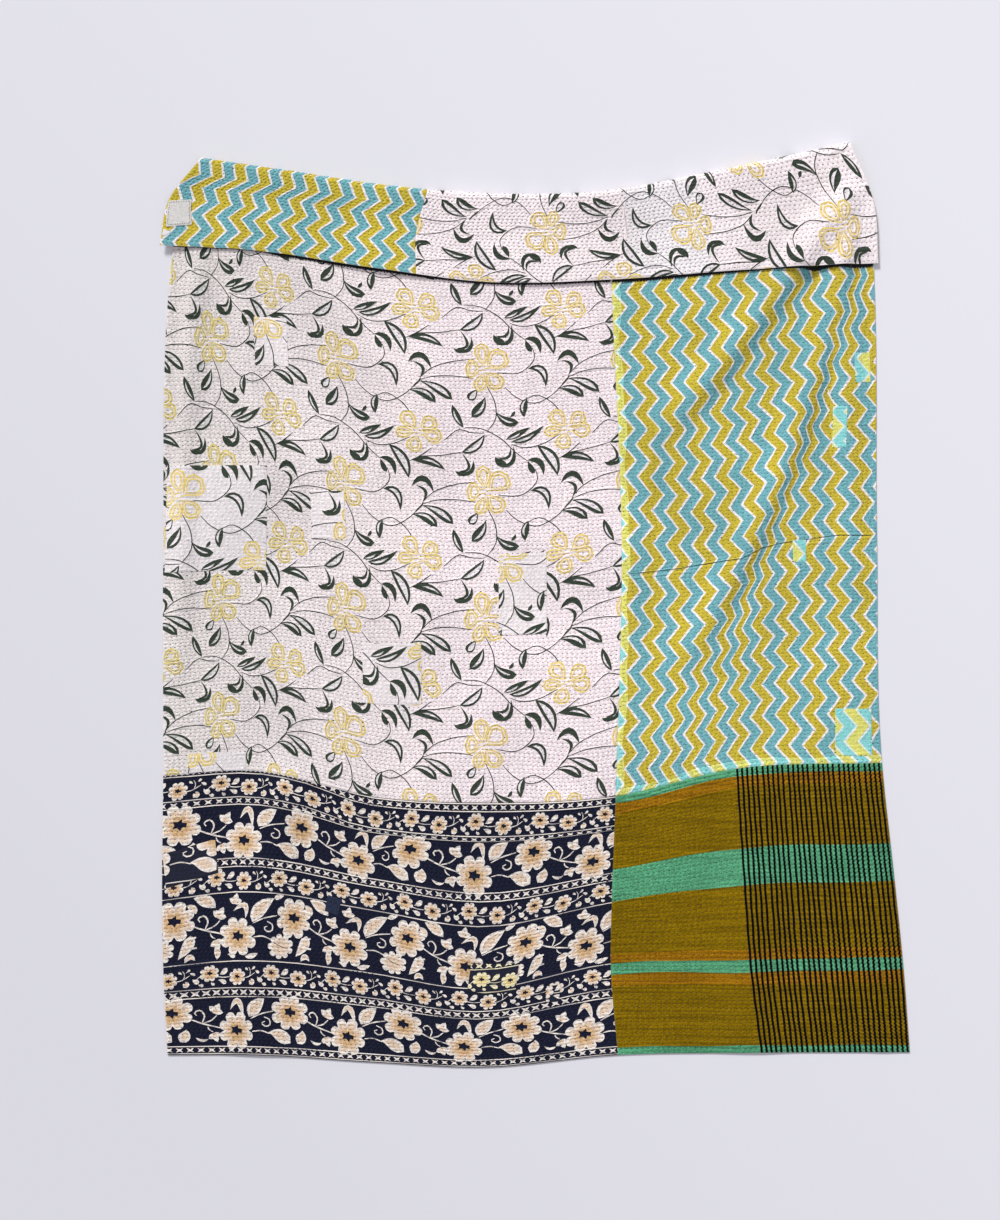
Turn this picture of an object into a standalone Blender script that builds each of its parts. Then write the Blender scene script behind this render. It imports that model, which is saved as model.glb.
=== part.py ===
"""A kantha throw: six cotton panels, quilted through in rows, lying with the head end turned down.

The throw lies on z = 0. X runs across it and Y from the foot hem to the head. A place on the cloth is
given by two lengths: across, from the left edge, and along, from the foot hem up the body, round the
turn and on to the head hem. The cloth surface turns these two lengths into a point in space, and every
panel is a thin solid between two offsets of that surface: the front panels above it, the back below.
"""

import math
from typing import NamedTuple

import bpy
import numpy as np

# Driving sizes, in metres. The flat throw is 1.28 by 1.78 m, about 50 by 70 inches.
QUILT_WIDTH = 1.28
BODY_LENGTH = 1.583  # foot hem to the start of the turn
TURN_RADIUS = 0.0065  # of the turned edge, at the middle of the cloth
TURNDOWN_LENGTH = 0.172  # end of the turn to the head hem
PANEL_THICKNESS = 0.0013  # one sewn face with its share of the inner layers
SEAM_GAP = 0.0003  # between panels that meet, side by side or face to face
FRONT_SEAM = 0.813  # across: vine print to the left, zigzag print to the right
CROSS_SEAM = 0.493  # along: the two foot panels end here
BACK_SEAM = 0.457  # across, on the back: zigzag to the left, vine to the right
LABEL_WIDTH = 0.047
LABEL_LENGTH = 0.051
LABEL_THICKNESS = 0.001
LABEL_INSET = 0.004  # from the left edge of the throw
LABEL_ABOVE_HEM = 0.036  # from the head hem, on the back of the turndown

TURN_LENGTH = math.pi * TURN_RADIUS
QUILT_LENGTH = BODY_LENGTH + TURN_LENGTH + TURNDOWN_LENGTH
LABEL_ACROSS = (LABEL_INSET, LABEL_INSET + LABEL_WIDTH)
LABEL_ALONG = (QUILT_LENGTH - LABEL_ABOVE_HEM - LABEL_LENGTH, QUILT_LENGTH - LABEL_ABOVE_HEM)
HALF_THICKNESS = SEAM_GAP / 2 + PANEL_THICKNESS
TURNDOWN_GAP = 0.003  # air between the body and the resting turndown
SETTLE_LENGTH = 0.085  # of turndown in which the loft of the turn sinks away
SLOPE_STEP = 0.0004  # for the surface's slopes
MERGE = 0.00001  # places nearer than this are one place

# Spacing of the solid's mesh lines. The folds that run from the two held corners need closer lines.
FINE_SPACING = 0.021
COARSE_SPACING = 0.05
LEFT_FOLDS_END = 0.2
RIGHT_FOLDS_START = 0.8
BODY_SPACING = 0.058
TURN_STEPS = 6
TURNDOWN_SPACING = 0.022

# The share of the width at which a weft line's heights are given.
STATIONS = (0.0, 0.13, 0.30, 0.46, 0.635, 0.80, 1.0)
SEAM_STATION = 4


class WeftLine(NamedTuple):
    """One crosswise thread as it lies: x at both edges and the seam, y at each station, in millimetres."""

    along: float
    x_left: float
    x_seam: float
    x_right: float
    y: tuple


BODY_LINES = (
    WeftLine(0, -661, 149, 674, (-810, -810, -823, -832, -810, -806, -805)),
    WeftLine(169, -669, 136, 661, (-652, -639, -661, -691, -646, -639, -634)),
    WeftLine(286, -671, 138, 647, (-531, -514, -547, -578, -535, -506, -498)),
    WeftLine(493, -669, 145, 624, (-308, -299, -346, -356, -344, -295, -284)),
    WeftLine(905, -669, 156, 615, (81, 88, 77, 76, 88, 110, 122)),
    WeftLine(1409, -654, 138, 609, (617, 607, 576, 563, 576, 599, 617)),
    WeftLine(1497, -642, 136, 604, (708, 692, 662, 649, 658, 687, 722)),
    WeftLine(1583, -604, 131, 568, (797, 775, 746, 732, 737, 773, 824)),
)
# These are counted from the end of the turn.
TURNDOWN_LINES = (
    BODY_LINES[-1]._replace(along=0),
    WeftLine(86, -658, 138, 609, (728, 709, 675, 656, 661, 689, 722)),
    WeftLine(172, -674, 145, 617, (646, 637, 605, 580, 585, 601, 614)),
)


class Ridge(NamedTuple):
    """A soft fold that stands off the floor. Its crest runs from top to bottom, in millimetres of x and y."""

    top: tuple
    middle: tuple
    bottom: tuple
    height: float
    reach_left: float
    reach_right: float


RIDGES = (
    # Drag folds from the right-hand corner.
    Ridge((600, 795), (372, 481), (192, 256), 13, 54, 40),
    Ridge((566, 780), (461, 287), (215, -190), 13, 50, 36),
    Ridge((560, 770), (562, 400), (575, -120), 8, 34, 44),
    Ridge((215, 330), (180, 100), (172, -120), 5, 40, 40),
    # Drag folds from the left-hand corner.
    Ridge((-592, 770), (-628, 330), (-640, -280), 8, 30, 36),
    Ridge((-570, 770), (-520, 480), (-470, 120), 6, 34, 40),
    Ridge((-520, 760), (-380, 560), (-200, 330), 5, 42, 42),
    # Waves that rise from the foot hem.
    Ridge((-430, -240), (-498, -531), (-490, -860), 12, 80, 84),
    Ridge((424, -230), (379, -531), (406, -860), 9, 84, 84),
    Ridge((566, -120), (604, -441), (626, -860), 5, 36, 40),
    # A slack wave down the middle.
    Ridge((-230, 640), (-190, 180), (-270, -290), 5, 70, 70),
)
RISE_SHARE = 0.22  # of a ridge's length in which it rises at its top
FADE_SHARE = 0.3  # and in which it fades at its bottom


class HemWave(NamedTuple):
    """A place where the turndown's hem stands off the body: across and reach as shares, height in mm."""

    across: float
    reach: float
    height: float


HEM_WAVES = (
    HemWave(0.0, 0.07, 5),
    HemWave(0.31, 0.12, 5),
    HemWave(0.56, 0.10, 2),
    HemWave(0.91, 0.08, 7),
)
MM = 0.001


class Panel(NamedTuple):
    """A cut panel. side is 1 for the front and -1 for the back, and the spans are (from, to)."""

    name: str
    side: int
    across: tuple
    along: tuple
    colour: tuple


PANELS = (
    Panel("front_vine", 1, (0, FRONT_SEAM), (CROSS_SEAM, QUILT_LENGTH), (0.80, 0.72, 0.74)),
    Panel("front_zigzag", 1, (FRONT_SEAM, QUILT_WIDTH), (CROSS_SEAM, QUILT_LENGTH), (0.44, 0.60, 0.30)),
    Panel("front_border", 1, (0, FRONT_SEAM), (0, CROSS_SEAM), (0.08, 0.08, 0.14)),
    Panel("front_plaid", 1, (FRONT_SEAM, QUILT_WIDTH), (0, CROSS_SEAM), (0.27, 0.19, 0.02)),
    Panel("back_zigzag", -1, (0, BACK_SEAM), (0, QUILT_LENGTH), (0.44, 0.60, 0.30)),
    Panel("back_vine", -1, (BACK_SEAM, QUILT_WIDTH), (0, QUILT_LENGTH), (0.80, 0.72, 0.74)),
)
LABEL_COLOUR = (0.85, 0.83, 0.80)
COTTON_ROUGHNESS = 0.9


def smooth_step(share):
    """Rises from 0 to 1 with level ends as share goes from 0 to 1."""
    share = np.clip(share, 0, 1)
    return share * share * (3 - 2 * share)


def spline(knots, values, at):
    """A smooth curve through one column of values per knot, read at each place in at."""
    knots = np.asarray(knots, float)
    values = np.broadcast_to(np.asarray(values, float), (len(knots), len(at)))
    slopes = np.gradient(values, knots, axis=0)
    first = np.clip(np.searchsorted(knots, at, side="right") - 1, 0, len(knots) - 2)
    each = np.arange(len(at))
    span = knots[first + 1] - knots[first]
    share = (at - knots[first]) / span
    start, end = values[first, each], values[first + 1, each]
    leave, arrive = slopes[first, each] * span, slopes[first + 1, each] * span
    bend = end - start
    return start + share * (
        leave + share * (3 * bend - 2 * leave - arrive + share * (leave + arrive - 2 * bend))
    )


def net_of(lines):
    """Two tables of a weft line per row and a station per column: x and y, in metres."""
    edges = [STATIONS[0], STATIONS[SEAM_STATION], STATIONS[-1]]
    x = [
        np.polyval(np.polyfit(edges, (line.x_left, line.x_seam, line.x_right), 2), STATIONS)
        for line in lines
    ]
    return np.array(x) * MM, np.array([line.y for line in lines]) * MM


def read_net(table, knots, across, along):
    """Reads a net's table at cloth places: first down each station, then across the stations."""
    columns = [spline(knots, table[:, [k]], along) for k in range(len(STATIONS))]
    return spline(STATIONS, np.array(columns), across / QUILT_WIDTH)


def body_plan(across, along):
    """x and y of the flat-lying body."""
    knots = [line.along * MM for line in BODY_LINES]
    return [read_net(table, knots, across, along) for table in net_of(BODY_LINES)]


def turndown_plan(across, share):
    """x and y of the turndown, where share runs from 0 at the turn to 1 at the hem."""
    knots = [line.along * MM / TURNDOWN_LENGTH for line in TURNDOWN_LINES]
    return [read_net(table, knots, across, share) for table in net_of(TURNDOWN_LINES)]


def relief(x, y):
    """Height of the folds above the floor."""
    height = np.zeros(len(x))
    for ridge in RIDGES:
        places = np.array((ridge.top, ridge.middle, ridge.bottom)) * MM
        crest = np.polyfit(places[:, 1], places[:, 0], 2)
        lean = np.polyval(np.polyder(crest), y)
        aside = (x - np.polyval(crest, y)) / np.sqrt(1 + lean * lean)
        reach = np.where(aside < 0, ridge.reach_left, ridge.reach_right) * MM
        down = (places[0, 1] - y) / (places[0, 1] - places[2, 1])
        swell = smooth_step(down / RISE_SHARE) * smooth_step((1 - down) / FADE_SHARE)
        height += ridge.height * MM * swell * smooth_step(1 - np.abs(aside) / reach)
    return height


def hem_lift(across, share):
    """Height of the waves in the turndown's hem."""
    lift = np.zeros(len(across))
    for wave in HEM_WAVES:
        near = smooth_step(1 - np.abs(across / QUILT_WIDTH - wave.across) / wave.reach)
        lift += wave.height * MM * near * share**2
    return lift


def middle_surface(across, along):
    """Points of the surface between front and back cloth."""
    x, y = body_plan(across, np.minimum(along, BODY_LENGTH))
    lift = np.zeros(len(across))
    past = along - BODY_LENGTH
    on_turndown = past > TURN_LENGTH
    share = np.clip((past - TURN_LENGTH) / TURNDOWN_LENGTH, 0, 1)
    down_x, down_y = turndown_plan(across, share)
    x = np.where(on_turndown, down_x, x)
    y = np.where(on_turndown, down_y, y)

    # Round the turn, the way out swings from the body's line to that of the turndown.
    turn = np.clip(past / TURN_LENGTH, 0, 1)
    here = np.full(len(across), BODY_LENGTH)
    before = np.array(body_plan(across, here - SLOPE_STEP))
    body_way = np.array(body_plan(across, here)) - before
    down_way = np.array(turndown_plan(across, here * 0)) - np.array(turndown_plan(across, here * 0 + 0.01))
    body_way /= np.linalg.norm(body_way, axis=0)
    down_way /= np.linalg.norm(down_way, axis=0)
    way = body_way * (1 - turn) + down_way * turn
    way /= np.linalg.norm(way, axis=0)
    angle = math.pi * (turn - 0.5)
    out = np.where((past > 0) & ~on_turndown, TURN_RADIUS * np.cos(angle), 0)
    base = relief(x, y)
    x = x + way[0] * out
    y = y + way[1] * out
    rise = TURN_RADIUS * (1 + np.sin(angle))

    rest = 2 * HALF_THICKNESS + TURNDOWN_GAP
    settled = smooth_step(share * TURNDOWN_LENGTH / SETTLE_LENGTH)
    resting = 2 * TURN_RADIUS + (rest - 2 * TURN_RADIUS) * settled + hem_lift(across, share)
    lift = np.where(on_turndown, resting, np.where(past > 0, rise, 0))
    return np.stack([x, y, HALF_THICKNESS + base + lift], axis=1)


def cloth_points(across, along, offset):
    """Points at an offset from the middle surface, positive towards the front of the cloth."""
    left = np.clip(across - SLOPE_STEP, 0, QUILT_WIDTH)
    right = np.clip(across + SLOPE_STEP, 0, QUILT_WIDTH)
    lower = np.clip(along - SLOPE_STEP, 0, QUILT_LENGTH)
    upper = np.clip(along + SLOPE_STEP, 0, QUILT_LENGTH)
    weft = middle_surface(right, along) - middle_surface(left, along)
    warp = middle_surface(across, upper) - middle_surface(across, lower)
    facing = np.cross(weft, warp)
    facing /= np.linalg.norm(facing, axis=1, keepdims=True)
    return middle_surface(across, along) + facing * offset


def spaced(start, end, spacing):
    """Evenly spaced places from start to end, both included."""
    return np.linspace(start, end, max(1, round((end - start) / spacing)) + 1)


def across_lines():
    """Mesh lines across the throw, shared by every panel and the label so that facing sides stay parallel."""
    marks = (0, *LABEL_ACROSS, LEFT_FOLDS_END, BACK_SEAM, RIGHT_FOLDS_START, FRONT_SEAM, QUILT_WIDTH)
    spacings = [FINE_SPACING] * 3 + [COARSE_SPACING] * 2 + [FINE_SPACING] * 2
    runs = [spaced(a, b, step) for a, b, step in zip(marks, marks[1:], spacings)]
    return np.unique(np.concatenate(runs).round(6))


def along_lines():
    """Mesh lines along the throw: body, turn and turndown."""
    turn_end = BODY_LENGTH + TURN_LENGTH
    runs = [
        spaced(0, CROSS_SEAM, BODY_SPACING),
        spaced(CROSS_SEAM, BODY_LENGTH, BODY_SPACING),
        np.linspace(BODY_LENGTH, turn_end, TURN_STEPS + 1),
        spaced(turn_end, LABEL_ALONG[0], TURNDOWN_SPACING),
        spaced(*LABEL_ALONG, TURNDOWN_SPACING),
        spaced(LABEL_ALONG[1], QUILT_LENGTH, TURNDOWN_SPACING),
    ]
    return np.unique(np.concatenate(runs).round(6))


def lines_between(lines, span, edges):
    """The lines inside a span, with its ends drawn in by half a seam gap unless they are the throw's edges."""
    start, end = (
        place if place in edges else place + SEAM_GAP / 2 * sign
        for place, sign in zip(span, (1, -1))
    )
    inside = lines[(lines > start + SEAM_GAP) & (lines < end - SEAM_GAP)]
    return np.concatenate([[start], inside, [end]])


def slab(name, across, along, near, far, colour):
    """A closed thin solid over a grid of cloth places, between two offsets from the middle surface."""
    columns, rows = len(across), len(along)
    places = np.meshgrid(across, along)
    grid = [axis.ravel() for axis in places]
    top, bottom = max(near, far), min(near, far)
    points = np.concatenate([cloth_points(*grid, top), cloth_points(*grid, bottom)])
    below = columns * rows

    def corner(column, row):
        return row * columns + column

    faces = []
    for row in range(rows - 1):
        for column in range(columns - 1):
            a, b = corner(column, row), corner(column + 1, row)
            d, c = corner(column, row + 1), corner(column + 1, row + 1)
            faces += [(a, b, c), (a, c, d), (a + below, c + below, b + below), (a + below, d + below, c + below)]
    rim = [corner(column, 0) for column in range(columns)]
    rim += [corner(columns - 1, row) for row in range(1, rows)]
    rim += [corner(column, rows - 1) for column in range(columns - 2, -1, -1)]
    rim += [corner(0, row) for row in range(rows - 2, 0, -1)]
    for a, b in zip(rim, rim[1:] + rim[:1]):
        faces += [(a, a + below, b + below), (a, b + below, b)]

    mesh = bpy.data.meshes.new(name)
    mesh.from_pydata(points.tolist(), [], faces)
    mesh.shade_smooth()
    mesh.set_sharp_from_angle(angle=math.radians(40))
    mesh.materials.append(cotton(name, colour))
    solid = bpy.data.objects.new(name, mesh)
    bpy.context.scene.collection.objects.link(solid)
    return solid


def cotton(name, colour):
    """Matt printed cotton."""
    material = bpy.data.materials.new(name + "_cotton")
    material.use_nodes = True
    shader = material.node_tree.nodes["Principled BSDF"]
    shader.inputs["Base Color"].default_value = (*colour, 1)
    shader.inputs["Roughness"].default_value = COTTON_ROUGHNESS
    shader.inputs["Metallic"].default_value = 0
    return material


def make_panel(panel):
    """One cut panel of the throw."""
    across = lines_between(across_lines(), panel.across, (0, QUILT_WIDTH))
    along = lines_between(along_lines(), panel.along, (0, QUILT_LENGTH))
    near = panel.side * SEAM_GAP / 2
    far = panel.side * HALF_THICKNESS
    return slab(panel.name, across, along, near, far, panel.colour)


def make_label():
    """The bare cotton label, sewn to the back of the turndown near its left end."""
    across, along = across_lines(), along_lines()
    across = across[(across >= LABEL_ACROSS[0] - MERGE) & (across <= LABEL_ACROSS[1] + MERGE)]
    along = along[(along >= LABEL_ALONG[0] - MERGE) & (along <= LABEL_ALONG[1] + MERGE)]
    seat = -HALF_THICKNESS - SEAM_GAP
    return slab("label", across, along, seat, seat - LABEL_THICKNESS, LABEL_COLOUR)


def centre_over_origin(solids):
    """Moves the throw so that the middle of its box stands over the origin."""
    points = np.array([v.co for solid in solids for v in solid.data.vertices])
    middle = (points.min(axis=0) + points.max(axis=0)) / 2
    for solid in solids:
        for vertex in solid.data.vertices:
            vertex.co.x -= middle[0]
            vertex.co.y -= middle[1]


def main():
    """Builds the throw."""
    for old in list(bpy.data.objects):
        bpy.data.objects.remove(old)
    solids = [make_panel(panel) for panel in PANELS]
    solids.append(make_label())
    centre_over_origin(solids)


main()
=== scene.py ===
"""Dresses the kantha throw: four printed cottons in front, two behind, quilted through in close rows.

A place on the cloth is (across, along) in metres: across from the left edge, along from the foot hem up
the body, round the turn and on to the head hem. The cloth surface turns such places into points, as it
does for the solids, and each panel, patch and stitch is laid on it. Prints are drawn as outlines in the
cloth, so that every leaf and band has a true edge in the mesh.
"""

import itertools
import logging
import math
from dataclasses import dataclass, field
from enum import Enum
from typing import NamedTuple

import bpy
import numpy as np
from bpy.types import Material, Node, NodeSocket, NodeTree, Object
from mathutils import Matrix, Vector
from mathutils.geometry import delaunay_2d_cdt


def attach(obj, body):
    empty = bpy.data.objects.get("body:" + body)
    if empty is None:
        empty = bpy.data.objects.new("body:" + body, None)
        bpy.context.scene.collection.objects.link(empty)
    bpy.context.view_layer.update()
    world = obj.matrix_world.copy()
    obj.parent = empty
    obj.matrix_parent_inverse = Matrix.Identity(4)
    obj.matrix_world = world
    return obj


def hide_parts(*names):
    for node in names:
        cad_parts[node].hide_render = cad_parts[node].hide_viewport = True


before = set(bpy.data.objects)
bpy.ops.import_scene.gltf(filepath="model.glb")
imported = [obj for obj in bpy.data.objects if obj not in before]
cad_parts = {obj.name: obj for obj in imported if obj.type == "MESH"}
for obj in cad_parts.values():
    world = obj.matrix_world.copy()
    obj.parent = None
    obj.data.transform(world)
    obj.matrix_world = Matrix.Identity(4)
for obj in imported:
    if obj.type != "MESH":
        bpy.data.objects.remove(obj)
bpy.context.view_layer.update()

log = logging.getLogger("throw")

Array = np.ndarray
Pair = tuple[float, float]
Triple = tuple[float, float, float]

MM = 0.001
HEADING = "root"  # the body that every piece rides on

# The throw's own sizes, as in its solids.
QUILT_WIDTH = 1.28
BODY_LENGTH = 1.583
TURN_RADIUS = 0.0065
TURNDOWN_LENGTH = 0.172
PANEL_THICKNESS = 0.0013
SEAM_GAP = 0.0003
FRONT_SEAM = 0.813
CROSS_SEAM = 0.493
BACK_SEAM = 0.457
TURN_LENGTH = math.pi * TURN_RADIUS
TURN_END = BODY_LENGTH + TURN_LENGTH
QUILT_LENGTH = TURN_END + TURNDOWN_LENGTH
HALF_THICKNESS = SEAM_GAP / 2 + PANEL_THICKNESS
THREAD_SUNK = 0.00015  # how deep a stitch's foot lies in the cloth
THREAD_CREST = 0.62  # share of a stitch's length that its crest takes
NOISE_RANGE = (0.3, 0.7)  # where nearly all of a noise node's values lie
SHARP_FROM = math.radians(11)  # puckers fold more sharply than this, and the broad folds less
TUCKED_UNDER = 1.446  # along: from here on the front is hidden under the turndown


def linear(hex_colour: str) -> Array:
    """Turns an sRGB hex colour into linear light.

    Args:
        hex_colour: Six hex digits, such as "E6DADF".

    Returns:
        Red, green and blue from 0 to 1.
    """
    channels = np.array([int(hex_colour[k : k + 2], 16) for k in (0, 2, 4)]) / 255
    return np.where(channels <= 0.04045, channels / 12.92, ((channels + 0.055) / 1.055) ** 2.4)


def rows_of(*columns: Array) -> Array:
    """Rows of numbers side by side, such as the places that an x and a y make."""
    return np.stack(columns, axis=1)


def smooth_step(share: Array) -> Array:
    """Rises from 0 to 1 with level ends as share goes from 0 to 1."""
    share = np.clip(share, 0, 1)
    return share * share * (3 - 2 * share)


def spline(knots: Array, values: Array, at: Array) -> Array:
    """Reads a smooth curve through one column of values per knot.

    Args:
        knots: Rising places of the knots.
        values: A row per knot, with a column per place or a single column.
        at: Places to read at.

    Returns:
        One value per place.
    """
    knots = np.asarray(knots, float)
    values = np.broadcast_to(np.asarray(values, float), (len(knots), len(at)))
    slopes = np.gradient(values, knots, axis=0)
    first = np.clip(np.searchsorted(knots, at, side="right") - 1, 0, len(knots) - 2)
    each = np.arange(len(at))
    span = knots[first + 1] - knots[first]
    share = (at - knots[first]) / span
    start, end = values[first, each], values[first + 1, each]
    leave, arrive = slopes[first, each] * span, slopes[first + 1, each] * span
    bend = end - start
    return start + share * (
        leave + share * (3 * bend - 2 * leave - arrive + share * (leave + arrive - 2 * bend))
    )


class WeftLine(NamedTuple):
    """One crosswise thread as it lies: x at both edges and the seam, y at each station, in millimetres."""

    along: float
    x_left: float
    x_seam: float
    x_right: float
    y: tuple[float, ...]


class Ridge(NamedTuple):
    """A soft fold: its crest from top to bottom in millimetres, its height and its reach on either side."""

    top: Pair
    middle: Pair
    bottom: Pair
    height: float
    reach_left: float
    reach_right: float


class HemWave(NamedTuple):
    """A place where the turndown's hem stands off the body: across and reach as shares, height in mm."""

    across: float
    reach: float
    height: float


@dataclass
class ClothSurface:
    """The middle surface of the lying throw, with its folds and its turned-down head end."""

    stations: tuple[float, ...] = (0.0, 0.13, 0.30, 0.46, 0.635, 0.80, 1.0)
    seam_station: int = 4
    body: tuple[WeftLine, ...] = (
        WeftLine(0, -661, 149, 674, (-810, -810, -823, -832, -810, -806, -805)),
        WeftLine(169, -669, 136, 661, (-652, -639, -661, -691, -646, -639, -634)),
        WeftLine(286, -671, 138, 647, (-531, -514, -547, -578, -535, -506, -498)),
        WeftLine(493, -669, 145, 624, (-308, -299, -346, -356, -344, -295, -284)),
        WeftLine(905, -669, 156, 615, (81, 88, 77, 76, 88, 110, 122)),
        WeftLine(1409, -654, 138, 609, (617, 607, 576, 563, 576, 599, 617)),
        WeftLine(1497, -642, 136, 604, (708, 692, 662, 649, 658, 687, 722)),
        WeftLine(1583, -604, 131, 568, (797, 775, 746, 732, 737, 773, 824)),
    )
    turndown: tuple[WeftLine, ...] = (
        WeftLine(0, -604, 131, 568, (797, 775, 746, 732, 737, 773, 824)),
        WeftLine(86, -658, 138, 609, (728, 709, 675, 656, 661, 689, 722)),
        WeftLine(172, -674, 145, 617, (646, 637, 605, 580, 585, 601, 614)),
    )
    ridges: tuple[Ridge, ...] = (
        Ridge((600, 795), (372, 481), (192, 256), 13, 54, 40),
        Ridge((566, 780), (461, 287), (215, -190), 13, 50, 36),
        Ridge((560, 770), (562, 400), (575, -120), 8, 34, 44),
        Ridge((215, 330), (180, 100), (172, -120), 5, 40, 40),
        Ridge((-592, 770), (-628, 330), (-640, -280), 8, 30, 36),
        Ridge((-570, 770), (-520, 480), (-470, 120), 6, 34, 40),
        Ridge((-520, 760), (-380, 560), (-200, 330), 5, 42, 42),
        Ridge((-430, -240), (-498, -531), (-490, -860), 12, 80, 84),
        Ridge((424, -230), (379, -531), (406, -860), 9, 84, 84),
        Ridge((566, -120), (604, -441), (626, -860), 5, 36, 40),
        Ridge((-230, 640), (-190, 180), (-270, -290), 5, 70, 70),
    )
    rise_share: float = 0.22
    fade_share: float = 0.3
    hem_waves: tuple[HemWave, ...] = (
        HemWave(0.0, 0.07, 5),
        HemWave(0.31, 0.12, 5),
        HemWave(0.56, 0.10, 2),
        HemWave(0.91, 0.08, 7),
    )
    turndown_gap: float = 0.003
    settle_length: float = 0.085
    slope_step: float = 0.0004
    shift: Pair = (0.0, 0.0)

    def net(self, lines: tuple[WeftLine, ...]) -> tuple[Array, Array]:
        """Tables of x and y in metres, with a row per weft line and a column per station.

        Args:
            lines: Weft lines from the foot towards the head.

        Returns:
            The table of x and the table of y.
        """
        edges = [self.stations[0], self.stations[self.seam_station], self.stations[-1]]
        x = [
            np.polyval(np.polyfit(edges, (line.x_left, line.x_seam, line.x_right), 2), self.stations)
            for line in lines
        ]
        return np.array(x) * MM, np.array([line.y for line in lines]) * MM

    def read(self, lines: tuple[WeftLine, ...], across: Array, along: Array) -> list[Array]:
        """Reads x and y at cloth places: first down each station, then across the stations.

        Args:
            lines: The weft lines to read between.
            across: Places from the left edge, in metres.
            along: Places in the weft lines' own count, in metres.

        Returns:
            x and y.
        """
        knots = [line.along * MM for line in lines]
        found = []
        for table in self.net(lines):
            columns = [spline(knots, table[:, [k]], along) for k in range(len(self.stations))]
            found.append(spline(self.stations, np.array(columns), across / QUILT_WIDTH))
        return found

    def crest_offset(self, ridge: Ridge, x: Array, y: Array) -> tuple[Array, Array]:
        """How far places lie to the right of a ridge's crest, and how full the ridge is there.

        Args:
            ridge: The fold.
            x: Places, in metres.
            y: Places, in metres.

        Returns:
            The distance to the right of the crest, and the fullness from 0 to 1.
        """
        places = np.array((ridge.top, ridge.middle, ridge.bottom)) * MM
        crest = np.polyfit(places[:, 1], places[:, 0], 2)
        lean = np.polyval(np.polyder(crest), y)
        aside = (x - np.polyval(crest, y)) / np.sqrt(1 + lean * lean)
        down = (places[0, 1] - y) / (places[0, 1] - places[2, 1])
        return aside, smooth_step(down / self.rise_share) * smooth_step((1 - down) / self.fade_share)

    def relief(self, x: Array, y: Array) -> Array:
        """Height of the folds above the floor at places given by x and y in metres."""
        height = np.zeros(len(x))
        for ridge in self.ridges:
            aside, swell = self.crest_offset(ridge, x, y)
            reach = np.where(aside < 0, ridge.reach_left, ridge.reach_right) * MM
            height += ridge.height * MM * swell * smooth_step(1 - np.abs(aside) / reach)
        return height

    def middle(self, across: Array, along: Array) -> Array:
        """Points of the surface between front and back cloth, a row per place."""
        x, y = self.read(self.body, across, np.minimum(along, BODY_LENGTH))
        past = along - BODY_LENGTH
        on_turndown = past > TURN_LENGTH
        beyond = np.clip(past - TURN_LENGTH, 0, TURNDOWN_LENGTH)
        share = beyond / TURNDOWN_LENGTH
        down_x, down_y = self.read(self.turndown, across, beyond)
        x = np.where(on_turndown, down_x, x)
        y = np.where(on_turndown, down_y, y)

        # Round the turn, the way out swings from the body's line to that of the turndown.
        turn = np.clip(past / TURN_LENGTH, 0, 1)
        here = np.full(len(across), BODY_LENGTH)
        before = np.array(self.read(self.body, across, here - self.slope_step))
        body_way = np.array(self.read(self.body, across, here)) - before
        after = np.array(self.read(self.turndown, across, here * 0 + 0.01 * TURNDOWN_LENGTH))
        down_way = np.array(self.read(self.turndown, across, here * 0)) - after
        body_way /= np.linalg.norm(body_way, axis=0)
        down_way /= np.linalg.norm(down_way, axis=0)
        way = body_way * (1 - turn) + down_way * turn
        way /= np.linalg.norm(way, axis=0)
        angle = math.pi * (turn - 0.5)
        out = np.where((past > 0) & ~on_turndown, TURN_RADIUS * np.cos(angle), 0)
        base = self.relief(x, y)
        x = x + way[0] * out
        y = y + way[1] * out

        wave = np.zeros(len(across))
        for hem in self.hem_waves:
            near = smooth_step(1 - np.abs(across / QUILT_WIDTH - hem.across) / hem.reach)
            wave += hem.height * MM * near * share**2
        rest = 2 * HALF_THICKNESS + self.turndown_gap
        settled = smooth_step(beyond / self.settle_length)
        resting = 2 * TURN_RADIUS + (rest - 2 * TURN_RADIUS) * settled + wave
        rise = TURN_RADIUS * (1 + np.sin(angle))
        lift = np.where(on_turndown, resting, np.where(past > 0, rise, 0))
        return rows_of(x + self.shift[0], y + self.shift[1], HALF_THICKNESS + base + lift)

    def frame_at(self, across: Array, along: Array) -> tuple[Array, Array, Array]:
        """The cloth's own directions at places.

        Args:
            across: Places from the left edge, in metres.
            along: Places from the foot hem, in metres.

        Returns:
            Unit vectors along the weft, along the warp and out of the front.
        """
        step = self.slope_step
        sides = [np.clip(across + s, 0, QUILT_WIDTH) for s in (-step, step)]
        ends = [np.clip(along + s, 0, QUILT_LENGTH) for s in (-step, step)]
        weft = self.middle(sides[1], along) - self.middle(sides[0], along)
        warp = self.middle(across, ends[1]) - self.middle(across, ends[0])
        facing = np.cross(weft, warp)
        return tuple(v / np.linalg.norm(v, axis=1, keepdims=True) for v in (weft, warp, facing))

    def points(self, across: Array, along: Array, offset: Array) -> Array:
        """Points at an offset from the middle surface, positive out of the front."""
        facing = self.frame_at(across, along)[2]
        return self.middle(across, along) + facing * np.reshape(offset, (-1, 1))

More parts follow.
